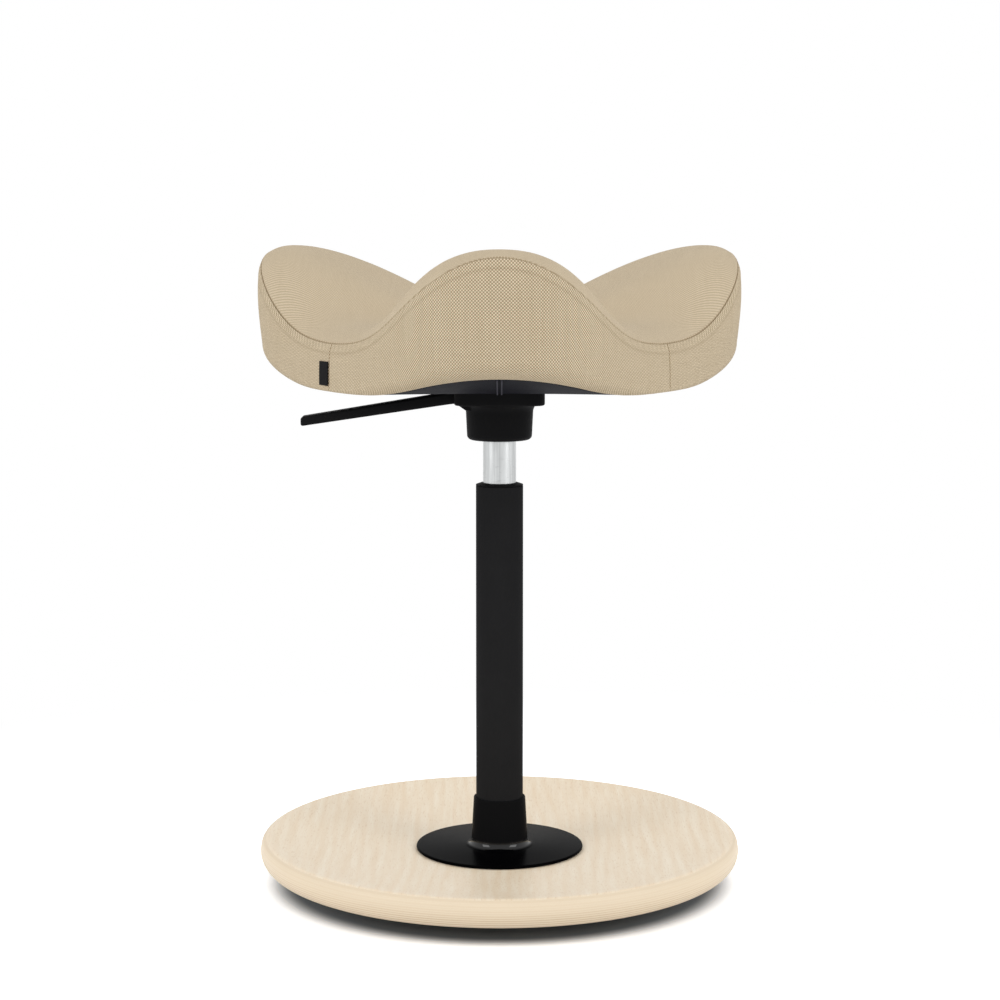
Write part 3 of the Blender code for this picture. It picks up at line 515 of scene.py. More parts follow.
ring = Recipe("ring_of_copies", {
    "Template": "Object", "Copies": "Int", "Circle": "Float", "First Turn": "Float",
    "Material": "Material"})
turn = ring.add("GeometryNodeInputIndex", {}, {}) / ring.given("Copies") * math.tau
turn = turn + ring.given("First Turn")
points = ring.add(
    "GeometryNodePoints", {},
    {"Count": ring.given("Copies"), "Position": ring.around(ring.given("Circle"), turn)})
shape = ring.add(
    "GeometryNodeObjectInfo", {}, {"Object": ring.given("Template")}, "Geometry")
ring.close(ring.add(
    "GeometryNodeInstanceOnPoints", {},
    {"Points": points, "Instance": shape, "Rotation": ring.point(0.0, 0.0, turn)}))


def set_round(name, template, copies, circle, first, finish):
    """Copies of a template on a circle, each turned with its place, as one piece."""
    piece = ring.make(name, {
        "Template": template, "Copies": copies, "Circle": circle, "First Turn": first,
        "Material": finish.material})
    bpy.data.objects.remove(template)
    return piece


zinc = Finish("bright_zinc", {"Metallic": 1.0})
blotch = zinc.noise(zinc.place(), 420.0, 3.0, 0.6)
zinc.wear({
    "Base Color": zinc.mix(blotch, swatch(176, 178, 178), swatch(214, 216, 214)),
    "Roughness": 0.24 + blotch * 0.22,
    "Normal": zinc.bump(zinc.noise(zinc.place(), 2600.0), 0.00002)})

NUT_ACROSS_FLATS = 0.010
NUT_CHAMFER = 0.0008
WASHER_RADIUS = 0.009
PAST = 0.001


def four_of(node, name, template, circle):
    """Four copies of a zinc template on the diagonals, in the place of the four CAD nodes."""
    piece = set_round(name, template, 4, circle, math.tau / 8, zinc)
    stand_for(piece, *[f"{node}_{k}" for k in range(1, 5)])


def band(bore_radius, radius, low, high, edge):
    """Profile of a ring with eased edges."""
    return rounded([
        (radius, low, edge), (radius, high, edge), (bore_radius, high, edge),
        (bore_radius, low, edge)], 3)


roof = pocket_roof - GAP
washer = turned(
    "washer", band(stud_hole, WASHER_RADIUS, roof - WASHER_THICK, roof, 0.0003), 48, zinc)
four_of("flange_washer", "stud_washers", washer, STUD_CIRCLE)

nut_high = roof - WASHER_THICK - GAP
nut_low = nut_high - NUT_HEIGHT
peak = NUT_ACROSS_FLATS / math.sqrt(3)
nut = turned("nut", [(0.0, nut_low), (peak, nut_low), (peak, nut_high), (0.0, nut_high)], 6, zinc)
outer, slant = peak + 0.0001, NUT_CHAMFER * 0.6
combine(nut, turned("nut_cone", [
    (0.0, nut_low), (peak - NUT_CHAMFER, nut_low), (outer, nut_low + slant),
    (outer, nut_high - slant), (peak - NUT_CHAMFER, nut_high), (0.0, nut_high)], 48, zinc), "INTERSECT")
combine(nut, turned("nut_bore", [
    (0.0, nut_low - PAST), (stud_hole, nut_low - PAST), (stud_hole, nut_high + PAST),
    (0.0, nut_high + PAST)], 32, zinc), "DIFFERENCE")
four_of("flange_nut", "stud_nuts", nut, STUD_CIRCLE)


# Column tube. Drawn steel tube, 40 mm across with a 2 mm wall, with a plate welded inside
# near its foot that carries the bearing. Its fine-textured coat is greyer than the flange's.

TUBE_WALL = 0.002
FLOOR_HEIGHT = 0.009
FLOOR_THICK = 0.004
SPIGOT_RADIUS = 0.004


def heights(node):
    """Lowest and highest point of a CAD node."""
    low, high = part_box(node)
    return low.z, high.z


tube_foot, tube_top = heights("column_tube")
tube_inner = TUBE_RADIUS - TUBE_WALL
spigot_bore = SPIGOT_RADIUS + GAP
floor_low = tube_foot + FLOOR_HEIGHT
fine_powder, haze = black_coat("fine_powder_coat", 0.45)
fine_powder.wear({"Base Color": fine_powder.mix(haze, swatch(34, 34, 35), swatch(39, 39, 40))})
tube = turned("column_tube_coated", rounded([
    (TUBE_RADIUS, tube_foot, 0.0002), (TUBE_RADIUS, tube_top, 0.0005),
    (tube_inner, tube_top, 0.0003), (tube_inner, floor_low + FLOOR_THICK, 0),
    (spigot_bore, floor_low + FLOOR_THICK, 0), (spigot_bore, floor_low, 0),
    (tube_inner, floor_low, 0), (tube_inner, tube_foot, 0.0002)]), 128, fine_powder)
stand_for(tube, "column_tube")


# Guide bush. Black nylon sleeve pressed into the tube's top end. It guides the cylinder,
# and its sloping cap closes the end of the tube.

RUN_GAP = 0.00015
CYLINDER_RADIUS = 0.014

nylon = Finish("moulded_nylon", {"Specular IOR Level": 0.02})
texture = nylon.noise(nylon.place(), 1300.0, 2.0, 0.55)
sheen = nylon.noise(nylon.place(), 30.0, 3.0, 0.6)
nylon.wear({
    "Base Color": nylon.mix(sheen, swatch(25, 25, 26), swatch(30, 30, 31)),
    "Roughness": 0.42 + sheen * 0.16,
    "Normal": nylon.bump(texture, 0.00009)})

bush_low, bush_high = heights("guide_bush")
bush_bore = CYLINDER_RADIUS + RUN_GAP
sleeve_radius = tube_inner - GAP
cap = tube_top + GAP
bush = turned("guide_bush_capped", rounded([
    (bush_bore, bush_low, 0.0005), (sleeve_radius, bush_low, 0.0006), (sleeve_radius, cap, 0),
    (TUBE_RADIUS, cap, 0.0001), (TUBE_RADIUS, cap + 0.0006, 0.0003),
    (bush_bore + 0.0012, bush_high, 0.0005), (bush_bore, bush_high, 0.0003)]), 128, nylon)
stand_for(bush, "guide_bush")


# Bearing, bumper and clip. Two hardened races with caged balls let the seat turn. A rubber
# ring softens the bottom of the stroke, and a clip under the floor plate holds the rod down.

RACE_RADIUS = 0.012
BALL_RADIUS = 0.0016
BALL_COUNT = 12
CAGE_THICK = 0.0012
ROD_RADIUS = 0.005

brass = Finish("greased_brass", {"Metallic": 1.0})
smear = brass.noise(brass.place(), 500.0, 3.0, 0.6)
brass.wear({
    "Base Color": brass.mix(smear, swatch(150, 118, 62), swatch(206, 172, 100)),
    "Roughness": 0.2 + smear * 0.3})


def in_place_of(node, name, bore_radius, edge, finish):
    """A turned ring with eased edges, in the box of the CAD node that it stands for."""
    low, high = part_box(node)
    stand_for(turned(name, band(bore_radius, high.x, low.z, high.z, edge), 64, finish), node)


in_place_of("thrust_race_low", "lower_race", spigot_bore, 0.0003, zinc)
in_place_of("thrust_race_high", "upper_race", spigot_bore, 0.0003, zinc)
in_place_of("rubber_bumper", "bump_ring", ROD_RADIUS + GAP, 0.0018, rubber)
in_place_of("rod_clip", "retaining_clip", spigot_bore, 0.0002, zinc)

middle = sum(heights("ball_cage")) / 2
cage = turned("cage", band(
    spigot_bore, RACE_RADIUS, middle - CAGE_THICK / 2, middle + CAGE_THICK / 2, 0.0002), 64, brass)
bm = bmesh.new()
bmesh.ops.create_uvsphere(bm, u_segments=16, v_segments=10, radius=BALL_RADIUS)
bmesh.ops.translate(bm, verts=bm.verts, vec=(0.0, 0.0, middle))
ball = new_piece("ball", bm, brass)
balls = set_round("balls", ball, BALL_COUNT, (spigot_bore + RACE_RADIUS) / 2, 0.0, zinc)
combine(cage, balls, "UNION")
stand_for(cage, "ball_cage")


# Gas spring. A ground rod stands in the bearing, and the satin-plated cylinder rises along
# it with the seat. The gland, piston and valve block are inside, and the release pin stands
# proud of the cylinder's top.

CYLINDER_WALL = 0.0015
CYLINDER_TOP_WALL = 0.003
CYLINDER_TAPER = 0.0007
VALVE_PIN_RADIUS = 0.002

plated = Finish("satin_plated_steel", {"Metallic": 1.0})
z = plated.place().split()[2]
drawn = plated.noise(plated.stretched(1.0, 1.0, 0.02), 1900.0, 2.0, 0.6)
painted_reflection_bands = plated.noise(plated.stretched(1.0, 1.0, 0.03), 420.0, 2.0, 0.6)
cloud = plated.noise(plated.stretched(1.0, 1.0, 0.35), 90.0, 3.0, 0.65)
scuff = plated.noise(plated.stretched(1.0, 1.0, 3.2), 130.0, 4.0, 0.7)
scuffs = plated.ease(scuff, 0.56, 0.72) * (1.0 - plated.ease(z, 0.350, 0.372))
# Painted reflection: darker vertical bands on the plating stand in for the dark surroundings its sides
# would reflect.
plated.wear({
    "Base Color": plated.layered(
        swatch(200, 202, 202), (cloud, (222, 224, 224)),
        (plated.ease(painted_reflection_bands, 0.38, 0.62) * 0.6, (180, 182, 182)), (scuffs * 0.35, (150, 150, 152))),
    "Roughness": 0.24 + cloud * 0.10 + scuffs * 0.2 + drawn * 0.05,
    "Normal": plated.bump(drawn, 0.000012)})

rod_low, rod_high = heights("piston_rod")
rod_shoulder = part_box("thrust_race_high")[1].z + GAP
piston_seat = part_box("piston")[0].z - GAP
rod = turned("ground_rod", rounded([
    (0.0, rod_low, 0), (SPIGOT_RADIUS, rod_low, 0.0006), (SPIGOT_RADIUS, rod_shoulder, 0),
    (ROD_RADIUS, rod_shoulder, 0.0004), (ROD_RADIUS, piston_seat, 0.0004),
    (SPIGOT_RADIUS, piston_seat, 0), (SPIGOT_RADIUS, rod_high, 0.0005), (0.0, rod_high, 0)]),
    64, plated)
stand_for(rod, "piston_rod")

hub_low, hub_high = heights("seat_hub")
cylinder_low, cylinder_top = heights("lift_cylinder")
pin_hole = VALVE_PIN_RADIUS + RUN_GAP
inner = CYLINDER_RADIUS - CYLINDER_WALL
ceiling = cylinder_top - CYLINDER_TOP_WALL
cylinder = turned("lift_cylinder_plated", rounded([
    (CYLINDER_RADIUS, cylinder_low, 0.0012), (CYLINDER_RADIUS, hub_low, 0),
    (CYLINDER_RADIUS - CYLINDER_TAPER, cylinder_top, 0.0005), (pin_hole, cylinder_top, 0.0002),
    (pin_hole, ceiling, 0), (inner - CYLINDER_TAPER, ceiling, 0), (inner - CYLINDER_TAPER, hub_low, 0),
    (inner, hub_low, 0), (inner, cylinder_low, 0.0002)]), 128, plated)
stand_for(cylinder, "lift_cylinder")

in_place_of("rod_gland", "gland", ROD_RADIUS + RUN_GAP, 0.0005, nylon)
in_place_of("piston", "piston_ring", spigot_bore, 0.0006, nylon)
in_place_of("valve_block", "valve_body", pin_hole, 0.0004, zinc)
pin_low, pin_top = heights("release_pin")
pin = turned("valve_pin", rounded([
    (0.0, pin_low, 0), (VALVE_PIN_RADIUS, pin_low, 0.0003), (VALVE_PIN_RADIUS, pin_top, 0.0006),
    (0.0, pin_top, 0)]), 32, zinc)
stand_for(pin, "release_pin")


# Seat hub. Glass-filled nylon, moulded in one: a neck whose tapered socket grips the cylinder
# flares into a square plate with four screw holes. A gusset under the plate walls the lever's
# slot, and the cross pin through its walls is the lever's pivot.

SOCKET_DEPTH = 0.028
NECK_LOW_RADIUS = 0.0275
NECK_TOP_RADIUS = 0.0284
NECK_ROUND = 0.004
NECK_FLARE = 0.0062
NECK_FLARE_HEIGHT = 0.0078
GUSSET_INSET = 0.0006
GUSSET_DROP = 0.0052
GUSSET_RISE = 0.0009
PLATE_THICK = 0.0118
PLATE_CORNER = 0.010
PLATE_ROUND = 0.0018
ARC_PROFILE = 0.5
SCREW_SPACING = 0.059
SCREW_RADIUS = 0.003
SCREW_HEAD_RADIUS = 0.005
SCREW_HEAD_HEIGHT = 0.005
LEVER_WIDTH = 0.020
LEVER_THICK = 0.008
LEVER_INNER = 0.028
LEVER_PIVOT = 0.022
LEVER_PIN_RADIUS = 0.0025
PIN_WALL = 0.006
CAVITY_END = 0.0025
CAVITY_SIDE = 0.0015
CAVITY_BELOW = 0.0022

plate_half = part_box("seat_hub")[1].x
plate_low = hub_high - PLATE_THICK
shell_low = hub_high + GAP
lever_z = pin_top + GAP + LEVER_THICK / 2
lever_x = -LEVER_PIVOT
slot_side = LEVER_WIDTH / 2 + CAVITY_SIDE
screw_circle = SCREW_SPACING / math.sqrt(2)


def add_block(bm, low, high):
    """A block between two opposite corners."""
    made = bmesh.ops.create_cube(bm, size=1.0)["verts"]
    bmesh.ops.scale(bm, vec=Vector(high) - Vector(low), verts=made)
    bmesh.ops.translate(bm, vec=(Vector(high) + Vector(low)) / 2, verts=made)


def add_bar(bm, outline, width):
    """A bar across the middle plane: an outline in X and Z, as wide as asked along Y."""
    face = bm.faces.new([bm.verts.new((x, -width / 2, z)) for x, z in outline])
    grown = bmesh.ops.extrude_face_region(bm, geom=[face])["geom"]
    moved = [v for v in grown if isinstance(v, bmesh.types.BMVert)]
    bmesh.ops.translate(bm, verts=moved, vec=(0.0, width, 0.0))


def cross_bar(name, radius, start, end, edge, finish):
    """A round bar along Y through the lever's pivot."""
    bm = bmesh.new()
    spin_into(bm, rounded([
        (0.0, start, 0), (radius, start, edge), (radius, end, edge), (0.0, end, 0)], 3), 48)
    for vert in bm.verts:
        x, y, z = vert.co
        vert.co = (lever_x + x, z, lever_z - y)
    return new_piece(name, bm, finish)


bm = bmesh.new()
add_block(bm, (-plate_half, -plate_half, plate_low), (plate_half, plate_half, hub_high))
upright = [e for e in bm.edges if abs(e.verts[0].co.z - e.verts[1].co.z) > PLATE_THICK / 2]
bmesh.ops.bevel(bm, geom=upright, offset=PLATE_CORNER, segments=8, profile=ARC_PROFILE, affect="EDGES")
lower = [e for e in bm.edges if max(v.co.z for v in e.verts) < plate_low + GAP]
bmesh.ops.bevel(bm, geom=lower, offset=PLATE_ROUND, segments=4, profile=ARC_PROFILE, affect="EDGES")
hub = new_piece("hub_moulding", bm, nylon)

joined = plate_low + PLATE_ROUND
neck = [(0.0, hub_low)]
neck += fan((NECK_LOW_RADIUS - NECK_ROUND, hub_low + NECK_ROUND), NECK_ROUND, -math.pi / 2, 0.0, 8)
flared = NECK_TOP_RADIUS + NECK_FLARE
neck += [
    (flared - NECK_FLARE * x, plate_low - NECK_FLARE_HEIGHT * (1.0 - z))
    for x, z in fan((0.0, 0.0), 1.0, 0.0, math.pi / 2, 12)]
neck += [(flared, joined), (0.0, joined)]
combine(hub, turned("neck", neck, 128, nylon), "UNION")
bm = bmesh.new()
gusset_low = plate_low - GUSSET_DROP
gusset_end = -NECK_LOW_RADIUS + NECK_ROUND
gusset_start = -plate_half + GUSSET_INSET
add_bar(bm, [
    (gusset_end, joined), (gusset_start, joined), (gusset_start, plate_low + GUSSET_RISE),
    (-NECK_TOP_RADIUS, gusset_low), (gusset_end, gusset_low)], LEVER_WIDTH + 2 * PIN_WALL)
combine(hub, new_piece("gusset", bm, nylon), "UNION")
socket_top = CYLINDER_RADIUS - CYLINDER_TAPER + GAP
combine(hub, turned("socket", [
    (0.0, hub_low - GAP), (CYLINDER_RADIUS + GAP, hub_low - GAP), (socket_top, hub_low + SOCKET_DEPTH),
    (socket_top, pin_top), (0.0, pin_top)], 128, nylon), "DIFFERENCE")
bm = bmesh.new()
slot_end = lever_x + LEVER_INNER + CAVITY_END
add_block(
    bm, (-plate_half * 2, -slot_side, lever_z - LEVER_THICK / 2 - CAVITY_BELOW),
    (slot_end, slot_side, shell_low))
combine(hub, new_piece("slot", bm, nylon), "DIFFERENCE")
pin_start = -slot_side - PIN_WALL
combine(hub, cross_bar(
    "pin_bore", LEVER_PIN_RADIUS + GAP, pin_start - GAP, plate_half * 2, 0, nylon), "DIFFERENCE")
head_top = plate_low + SCREW_HEAD_HEIGHT + 2 * GAP
combine(hub, turned("screw_holes", [
    (0.0, hub_low), (SCREW_HEAD_RADIUS + GAP, hub_low), (SCREW_HEAD_RADIUS + GAP, head_top),
    (SCREW_RADIUS + GAP, head_top), (SCREW_RADIUS + GAP, shell_low), (0.0, shell_low)],
    32, nylon, diagonals(screw_circle)), "DIFFERENCE")
stand_for(hub, "seat_hub")
stand_for(
    cross_bar("pivot_pin", LEVER_PIN_RADIUS, pin_start, plate_half - PLATE_ROUND, 0.0003, zinc),
    "lever_pin")


# Height lever. A flat moulded nylon bar with softened edges, which thins as it droops from the
# hub to its blunt tip. Its inner end lies level over the release pin, and it turns on the
# cross pin.

LEVER_REACH = 0.1675
LEVER_ROOT_THICK = 0.010
LEVER_TIP_THICK = 0.0077
LEVER_DROOP = math.radians(8.9)
LEVER_BEND = 0.020
LEVER_EDGE = 0.0022


def soften(piece, width, segments):
    """Rounds the piece's edges."""
    edges = piece.modifiers.new("edges", "BEVEL")
    edges.width = width
    edges.segments = segments
    edges.limit_method = "ANGLE"
    edges.angle_limit = math.radians(40)
    keep_shape(piece)


half = LEVER_THICK / 2
root = LEVER_ROOT_THICK / 2
tip = LEVER_TIP_THICK / 2
reach = -(LEVER_REACH - LEVER_PIVOT)
drop = (reach + LEVER_BEND) * math.tan(LEVER_DROOP)
lever_outline = [
    (LEVER_INNER, half), (-LEVER_BEND / 2, half), (-LEVER_BEND, root), (reach, drop + tip),
    (reach, drop - tip), (-LEVER_BEND, -root), (-LEVER_BEND / 2, -half), (LEVER_INNER, -half)]
bm = bmesh.new()
add_bar(bm, [(lever_x + x, lever_z + z) for x, z in lever_outline], LEVER_WIDTH)
lever = new_piece("lever_bar", bm, nylon)
soften(lever, LEVER_EDGE, 5)
combine(lever, cross_bar(
    "lever_bore", LEVER_PIN_RADIUS + RUN_GAP, -LEVER_WIDTH, LEVER_WIDTH, 0, nylon), "DIFFERENCE")
stand_for(lever, "height_lever")


# Saddle foam. Polyurethane moulded on the shell, with three lobes that rise and three
# valleys between them. The cover hides it, and it fills the cover down to the hem.

FRONT = -math.pi / 2
SIZES = {
    "Valley Radius": 0.1566, "Lobe Radius": 0.2305, "Outline Power": 2.56, "Outline Spread": 0.5,
    "Valley Edge": 0.0031, "Lobe Edge": 0.0222, "Edge Power": 2.51,
    "Valley Seam": 0.0429, "Lobe Seam": 0.1145, "Seam Power": 2.73, "Seam Spread": 0.22,
    "Valley Crown": 0.0562, "Lobe Crown": 0.1226, "Crown Broadening": 1.16,
    "Crown Power": 1.32, "Crown Edge Power": 0.93, "Roll": 0.0128, "Roll Power": 1.27,
    "Valley Bulge": 0.0018, "Lobe Bulge": 0.0032, "Bulge Power": 0.7, "Valley Flare": 0.0030,
    "Lobe Taper": 0.0015, "Valley Corner": 0.0025, "Lobe Corner": 0.0185, "Wrap": 0.005,
    "Base": shell_low}


def work(operation, value, *others):
    """A Math operation, as nodes on an output or at once on plain numbers."""
    if isinstance(value, Flow):
        return value.math(operation, *others)
    plain = {"COSINE": math.cos, "SINE": math.sin, "MINIMUM": min, "MAXIMUM": max}
    return plain[operation](value, *others)


class Saddle(SimpleNamespace):
    """The rule of the seat's form. Turns are in radians, and heights are on the shell's base."""

    def lobe_share(self, turn):
        """One on the middle of a lobe, and zero in the middle of a valley."""
        return work("COSINE", (turn - FRONT) * 3.0) * 0.5 + 0.5

    def between(self, valley, lobe, turn, power=1.0, spread=0.0):
        """From the valley's value to the lobe's. The spread is the part that rises evenly."""
        share = self.lobe_share(turn)
        return valley + (lobe - valley) * (spread * share + (1.0 - spread) * share ** power)

    def outline(self, turn):
        return self.between(
            self.valley_radius, self.lobe_radius, turn, self.outline_power, self.outline_spread)

    def seam(self, turn):
        rise = self.between(self.valley_seam, self.lobe_seam, turn, self.seam_power, self.seam_spread)
        return self.base + rise

    def edge(self, turn):
        return self.base + self.between(self.valley_edge, self.lobe_edge, turn, self.edge_power)

    def corner(self, turn):
        """Rounding of the lower corner, wide under the lobes and tight in the valleys."""
        return self.between(self.valley_corner, self.lobe_corner, turn)

    def crown(self, share, turn):
        rise = share * share * (3.0 - 2.0 * share)
        power = self.crown_power + self.crown_edge_power * share ** 4.0
        valley_share = work("MAXIMUM", 1.0 - self.lobe_share(turn), 0.0)
        lobe = (1.0 - valley_share ** self.crown_broadening) ** power * rise
        return self.base + self.valley_crown + (self.lobe_crown - self.valley_crown) * lobe

    def top(self, share, turn):
        inward = (1.0 - share) * self.outline(turn)
        roll = math.e ** -((inward / self.roll) ** self.roll_power)
        return self.crown(share, turn) - (self.crown(1.0, turn) - self.seam(turn)) * roll

    def side(self, share, turn):
        """Radius and height on the side band, from the seam at 0 to the lower corner at 1."""
        high = self.seam(turn)
        low = self.edge(turn) + self.corner(turn)
        bulge = self.between(self.valley_bulge, self.lobe_bulge, turn)
        lean = self.between(self.valley_flare, -self.lobe_taper, turn)
        swell = bulge * work("SINE", math.pi * share ** self.bulge_power) + lean * share ** 1.5
        return self.outline(turn) + swell, high - (high - low) * share


def attribute_name(label):
    return label.lower().replace(" ", "_")


saddle = Saddle(**{attribute_name(label): value for label, value in SIZES.items()})
SHELL_THICK = 0.008
SHELL_EDGE_THICK = 0.004
CREASE_MARGIN = 0.030
CREASE_CUT = 0.004


def wrap_end(turn):
    """Where the cover's hem ends under the seat."""
    return saddle.side(1.0, turn)[0] - saddle.corner(turn) - saddle.wrap


def crease(turn):
    """The shell's flat middle is a triangle with round corners, short of the valleys' rim."""
    corner = wrap_end(FRONT + math.pi / 3) - GAP - CREASE_MARGIN
    flat = corner * math.cos(math.pi / 3)
    off = (turn - FRONT + math.pi / 3) % (math.tau / 3) - math.pi / 3
    reach = flat / math.cos(off)
    return reach - CREASE_CUT * (reach / corner) ** 8


def shell_top(r, turn):
    """Height of the shell's upper side at a distance from the axis."""
    start, end = crease(turn), wrap_end(turn) - GAP
    share = min(max((r - start) / (end - start), 0.0), 1.0)
    flat = saddle.base + SHELL_THICK
    return flat + (saddle.edge(turn) + SHELL_EDGE_THICK - flat) * share


def skinned(name, sections, finish):
    """Closes rows of points all round. Each row starts and ends on the axis, or closes on itself."""
    bm = bmesh.new()
    rows = [[bm.verts.new(point) for point in section] for section in sections]
    for first, second in zip(rows, rows[1:] + rows[:1]):
        for a, b, c, d in zip(first, second, second[1:], first[1:]):
            if (a.co - b.co).length < 1e-9:
                bm.faces.new((a, c, d))
            elif (c.co - d.co).length < 1e-9:
                bm.faces.new((a, b, c))
            else:
                bm.faces.new((a, b, c, d))
    return new_piece(name, bm, finish)


def about(points, turn):
    return [(r * math.cos(turn), r * math.sin(turn), z) for r, z in points]


foam = Finish("moulded_foam", {"Roughness": 0.92})
cells = foam.noise(foam.place(), 900.0, 3.0, 0.7)
foam.wear({
    "Base Color": foam.mix(cells, swatch(222, 214, 184), swatch(240, 233, 208)),
    "Normal": foam.bump(cells, 0.0003)})

FOAM_INSET = 0.0024
SEAM_HOLLOW = 0.0014
HOLLOW_WIDTH = 0.003
TIGHTEST = 0.0005
TOP_STEPS = 30
SIDE_STEPS = 12
UNDER_STEPS = 16


def inset(distance):
    """Depth of the foam under the cover, more beside the seam, where the cloth is drawn in."""
    return FOAM_INSET + SEAM_HOLLOW * math.exp(-(distance / HOLLOW_WIDTH) ** 2)


turns = [FRONT + math.tau * k / 144 for k in range(144)]
sections = []
for turn in turns:
    reach = saddle.outline(turn)
    section = []
    for k in range(TOP_STEPS):
        share = 1.0 - (1.0 - k / TOP_STEPS) ** 1.5
        depth = inset((1.0 - share) * reach)
        r = max(share * reach - depth * share ** 6, 0.0)
        section.append((r, saddle.top(share, turn) - depth))
    seam = saddle.seam(turn)
    for k in range(SIDE_STEPS + 1):
        share = k / SIDE_STEPS
        r, z = saddle.side(share, turn)
        depth = inset(seam - z)
        section.append((r - depth, min(z, seam - depth * (1 - share)) if share < 1 else z))
    corner = max(saddle.corner(turn) - FOAM_INSET, TIGHTEST)
    section += fan((r - corner, z), corner, 0.0, -math.pi / 2, 8)[1:]
    rim = wrap_end(turn)
    section.append((rim, section[-1][1]))
    inward = [rim * (1 - k / UNDER_STEPS) for k in range(UNDER_STEPS + 1)]
    section += [(r, shell_top(r, turn) + GAP) for r in inward]
    sections.append(about(section, turn))
foam_piece = skinned("saddle_foam", sections, foam)
stand_for(foam_piece, "seat_foam")


# Seat shell. Slate polypropylene, moulded with a flat triangle in the middle and three wings
# that bend up at the creases and run out to a rounded rim under the hem. A pair of thin ribs
# runs along the underside of each wing, and the T-nuts sit in four recesses above.

T_NUT_BARREL = 0.0039
T_NUT_FLANGE = 0.0085
T_NUT_FLANGE_THICK = 0.0012
CREASE_SOFT = 0.004
RIM_ROUND = 0.0014
RIB_OFFSET = 0.00175
RIB_WIDTH = 0.0015
RIB_PROUD = 0.0013
RIB_SUNK = 0.001
RIB_STOP = 0.006
RIB_HIGHLIGHT_COLOUR = swatch(74, 74, 82)

slate = Finish("slate_polypropylene", {"Specular IOR Level": 0.01})
spark = slate.noise(slate.place(), 1500.0, 2.0, 0.55)
flow = slate.noise(slate.place(), 18.0, 3.0, 0.6)
shell_colour = slate.mix(flow, swatch(23, 23, 28), swatch(29, 29, 35))
x, y, _ = slate.place().split()
# Painted highlight: a lighter line is painted along each rib on the wings' underside.
for k in range(3):
    aim = FRONT + math.tau * k / 3
    beside = (y * math.cos(aim) - x * math.sin(aim)).math("ABSOLUTE")
    ahead = x * math.cos(aim) + y * math.sin(aim)
    off_rib = (beside - RIB_OFFSET).math("ABSOLUTE")
    painted_rib_highlight = slate.ease(off_rib, RIB_WIDTH / 2, RIB_WIDTH / 4) * slate.ease(ahead, 0.04, 0.05)
    shell_colour = slate.mix(painted_rib_highlight, shell_colour, RIB_HIGHLIGHT_COLOUR)
slate.wear({
    "Base Color": shell_colour,
    "Roughness": 0.5 + flow * 0.14,
    "Normal": slate.bump(spark, 0.00008)})


def shell_low_side(r, turn):
    """Height of the shell's underside, with a soft bend at the crease."""
    start, end = crease(turn), wrap_end(turn) - GAP
    rise = (saddle.edge(turn) - saddle.base) / (end - start)
    past = r - start
    if past <= -CREASE_SOFT:
        return saddle.base
    if past < CREASE_SOFT:
        return saddle.base + rise * (past + CREASE_SOFT) ** 2 / (4 * CREASE_SOFT)
    return saddle.base + rise * past


sections = []
for turn in turns:
    rim = wrap_end(turn) - GAP
    start = crease(turn)
    stops = [start * k / 10 for k in range(10)]
    stops += [start + CREASE_SOFT * k / 3 for k in range(-2, 4)]
    outer = start + CREASE_SOFT
    stops += [outer + (rim - RIM_ROUND - outer) * k / 14 for k in range(1, 15)]
    stops.sort()
    section = [(r, shell_low_side(r, turn)) for r in stops]
    edge_low = saddle.edge(turn)
    section += fan((rim - RIM_ROUND, edge_low + RIM_ROUND), RIM_ROUND, -math.pi / 2, 0.0, 4)[1:]
    section.append((rim, shell_top(rim, turn)))
    section += [(rim * (1 - k / 20), shell_top(rim * (1 - k / 20), turn)) for k in range(1, 21)]
    sections.append(about(section, turn))
shell = skinned("shell_moulding", sections, slate)
recess = shell_low + SHELL_THICK - T_NUT_FLANGE_THICK - GAP
combine(shell, turned("t_nut_holes", [
    (0.0, hub_low), (T_NUT_BARREL + GAP, hub_low), (T_NUT_BARREL + GAP, recess),
    (T_NUT_FLANGE + GAP, recess), (T_NUT_FLANGE + GAP, shell_low + 2 * SHELL_THICK),
    (0.0, shell_low + 2 * SHELL_THICK)], 32, slate, diagonals(screw_circle)), "DIFFERENCE")


def add_loft(bm, outlines):
    """Walls from each closed outline to the next, and a cap on each end."""
    rows = [[bm.verts.new(point) for point in outline] for outline in outlines]
    for first, second in zip(rows, rows[1:]):
        for k in range(len(first)):
            n = (k + 1) % len(first)
            bm.faces.new((first[k], second[k], second[n], first[n]))
    bm.faces.new(rows[0])
    bm.faces.new(rows[-1][::-1])


wide, narrow = RIB_WIDTH / 2, RIB_WIDTH / 4
rib_outline = [
    (-wide, RIB_SUNK), (-wide, 0.0), (-narrow, -RIB_PROUD), (narrow, -RIB_PROUD), (wide, 0.0),
    (wide, RIB_SUNK)]
bm = bmesh.new()
for offset in (-RIB_OFFSET, RIB_OFFSET):
    add_loft(bm, [
        [(r, offset + y, shell_low_side(r, FRONT) + z) for y, z in rib_outline]
        for r in (crease(FRONT) + CREASE_SOFT, wrap_end(FRONT) - RIB_STOP)])
rib = new_piece("rib", bm, slate)
combine(shell, set_round("ribs", rib, 3, 0.0, FRONT, slate), "UNION")
stand_for(shell, "seat_shell")


# Seat screws and T-nuts. Four zinc-plated cap screws go up through the hub's plate into
# T-nuts that are pressed into the shell from above, before the foam is moulded on.

KEY_RADIUS = 0.0025
KEY_DEPTH = 0.0025
PLAIN_SHANK = 0.004

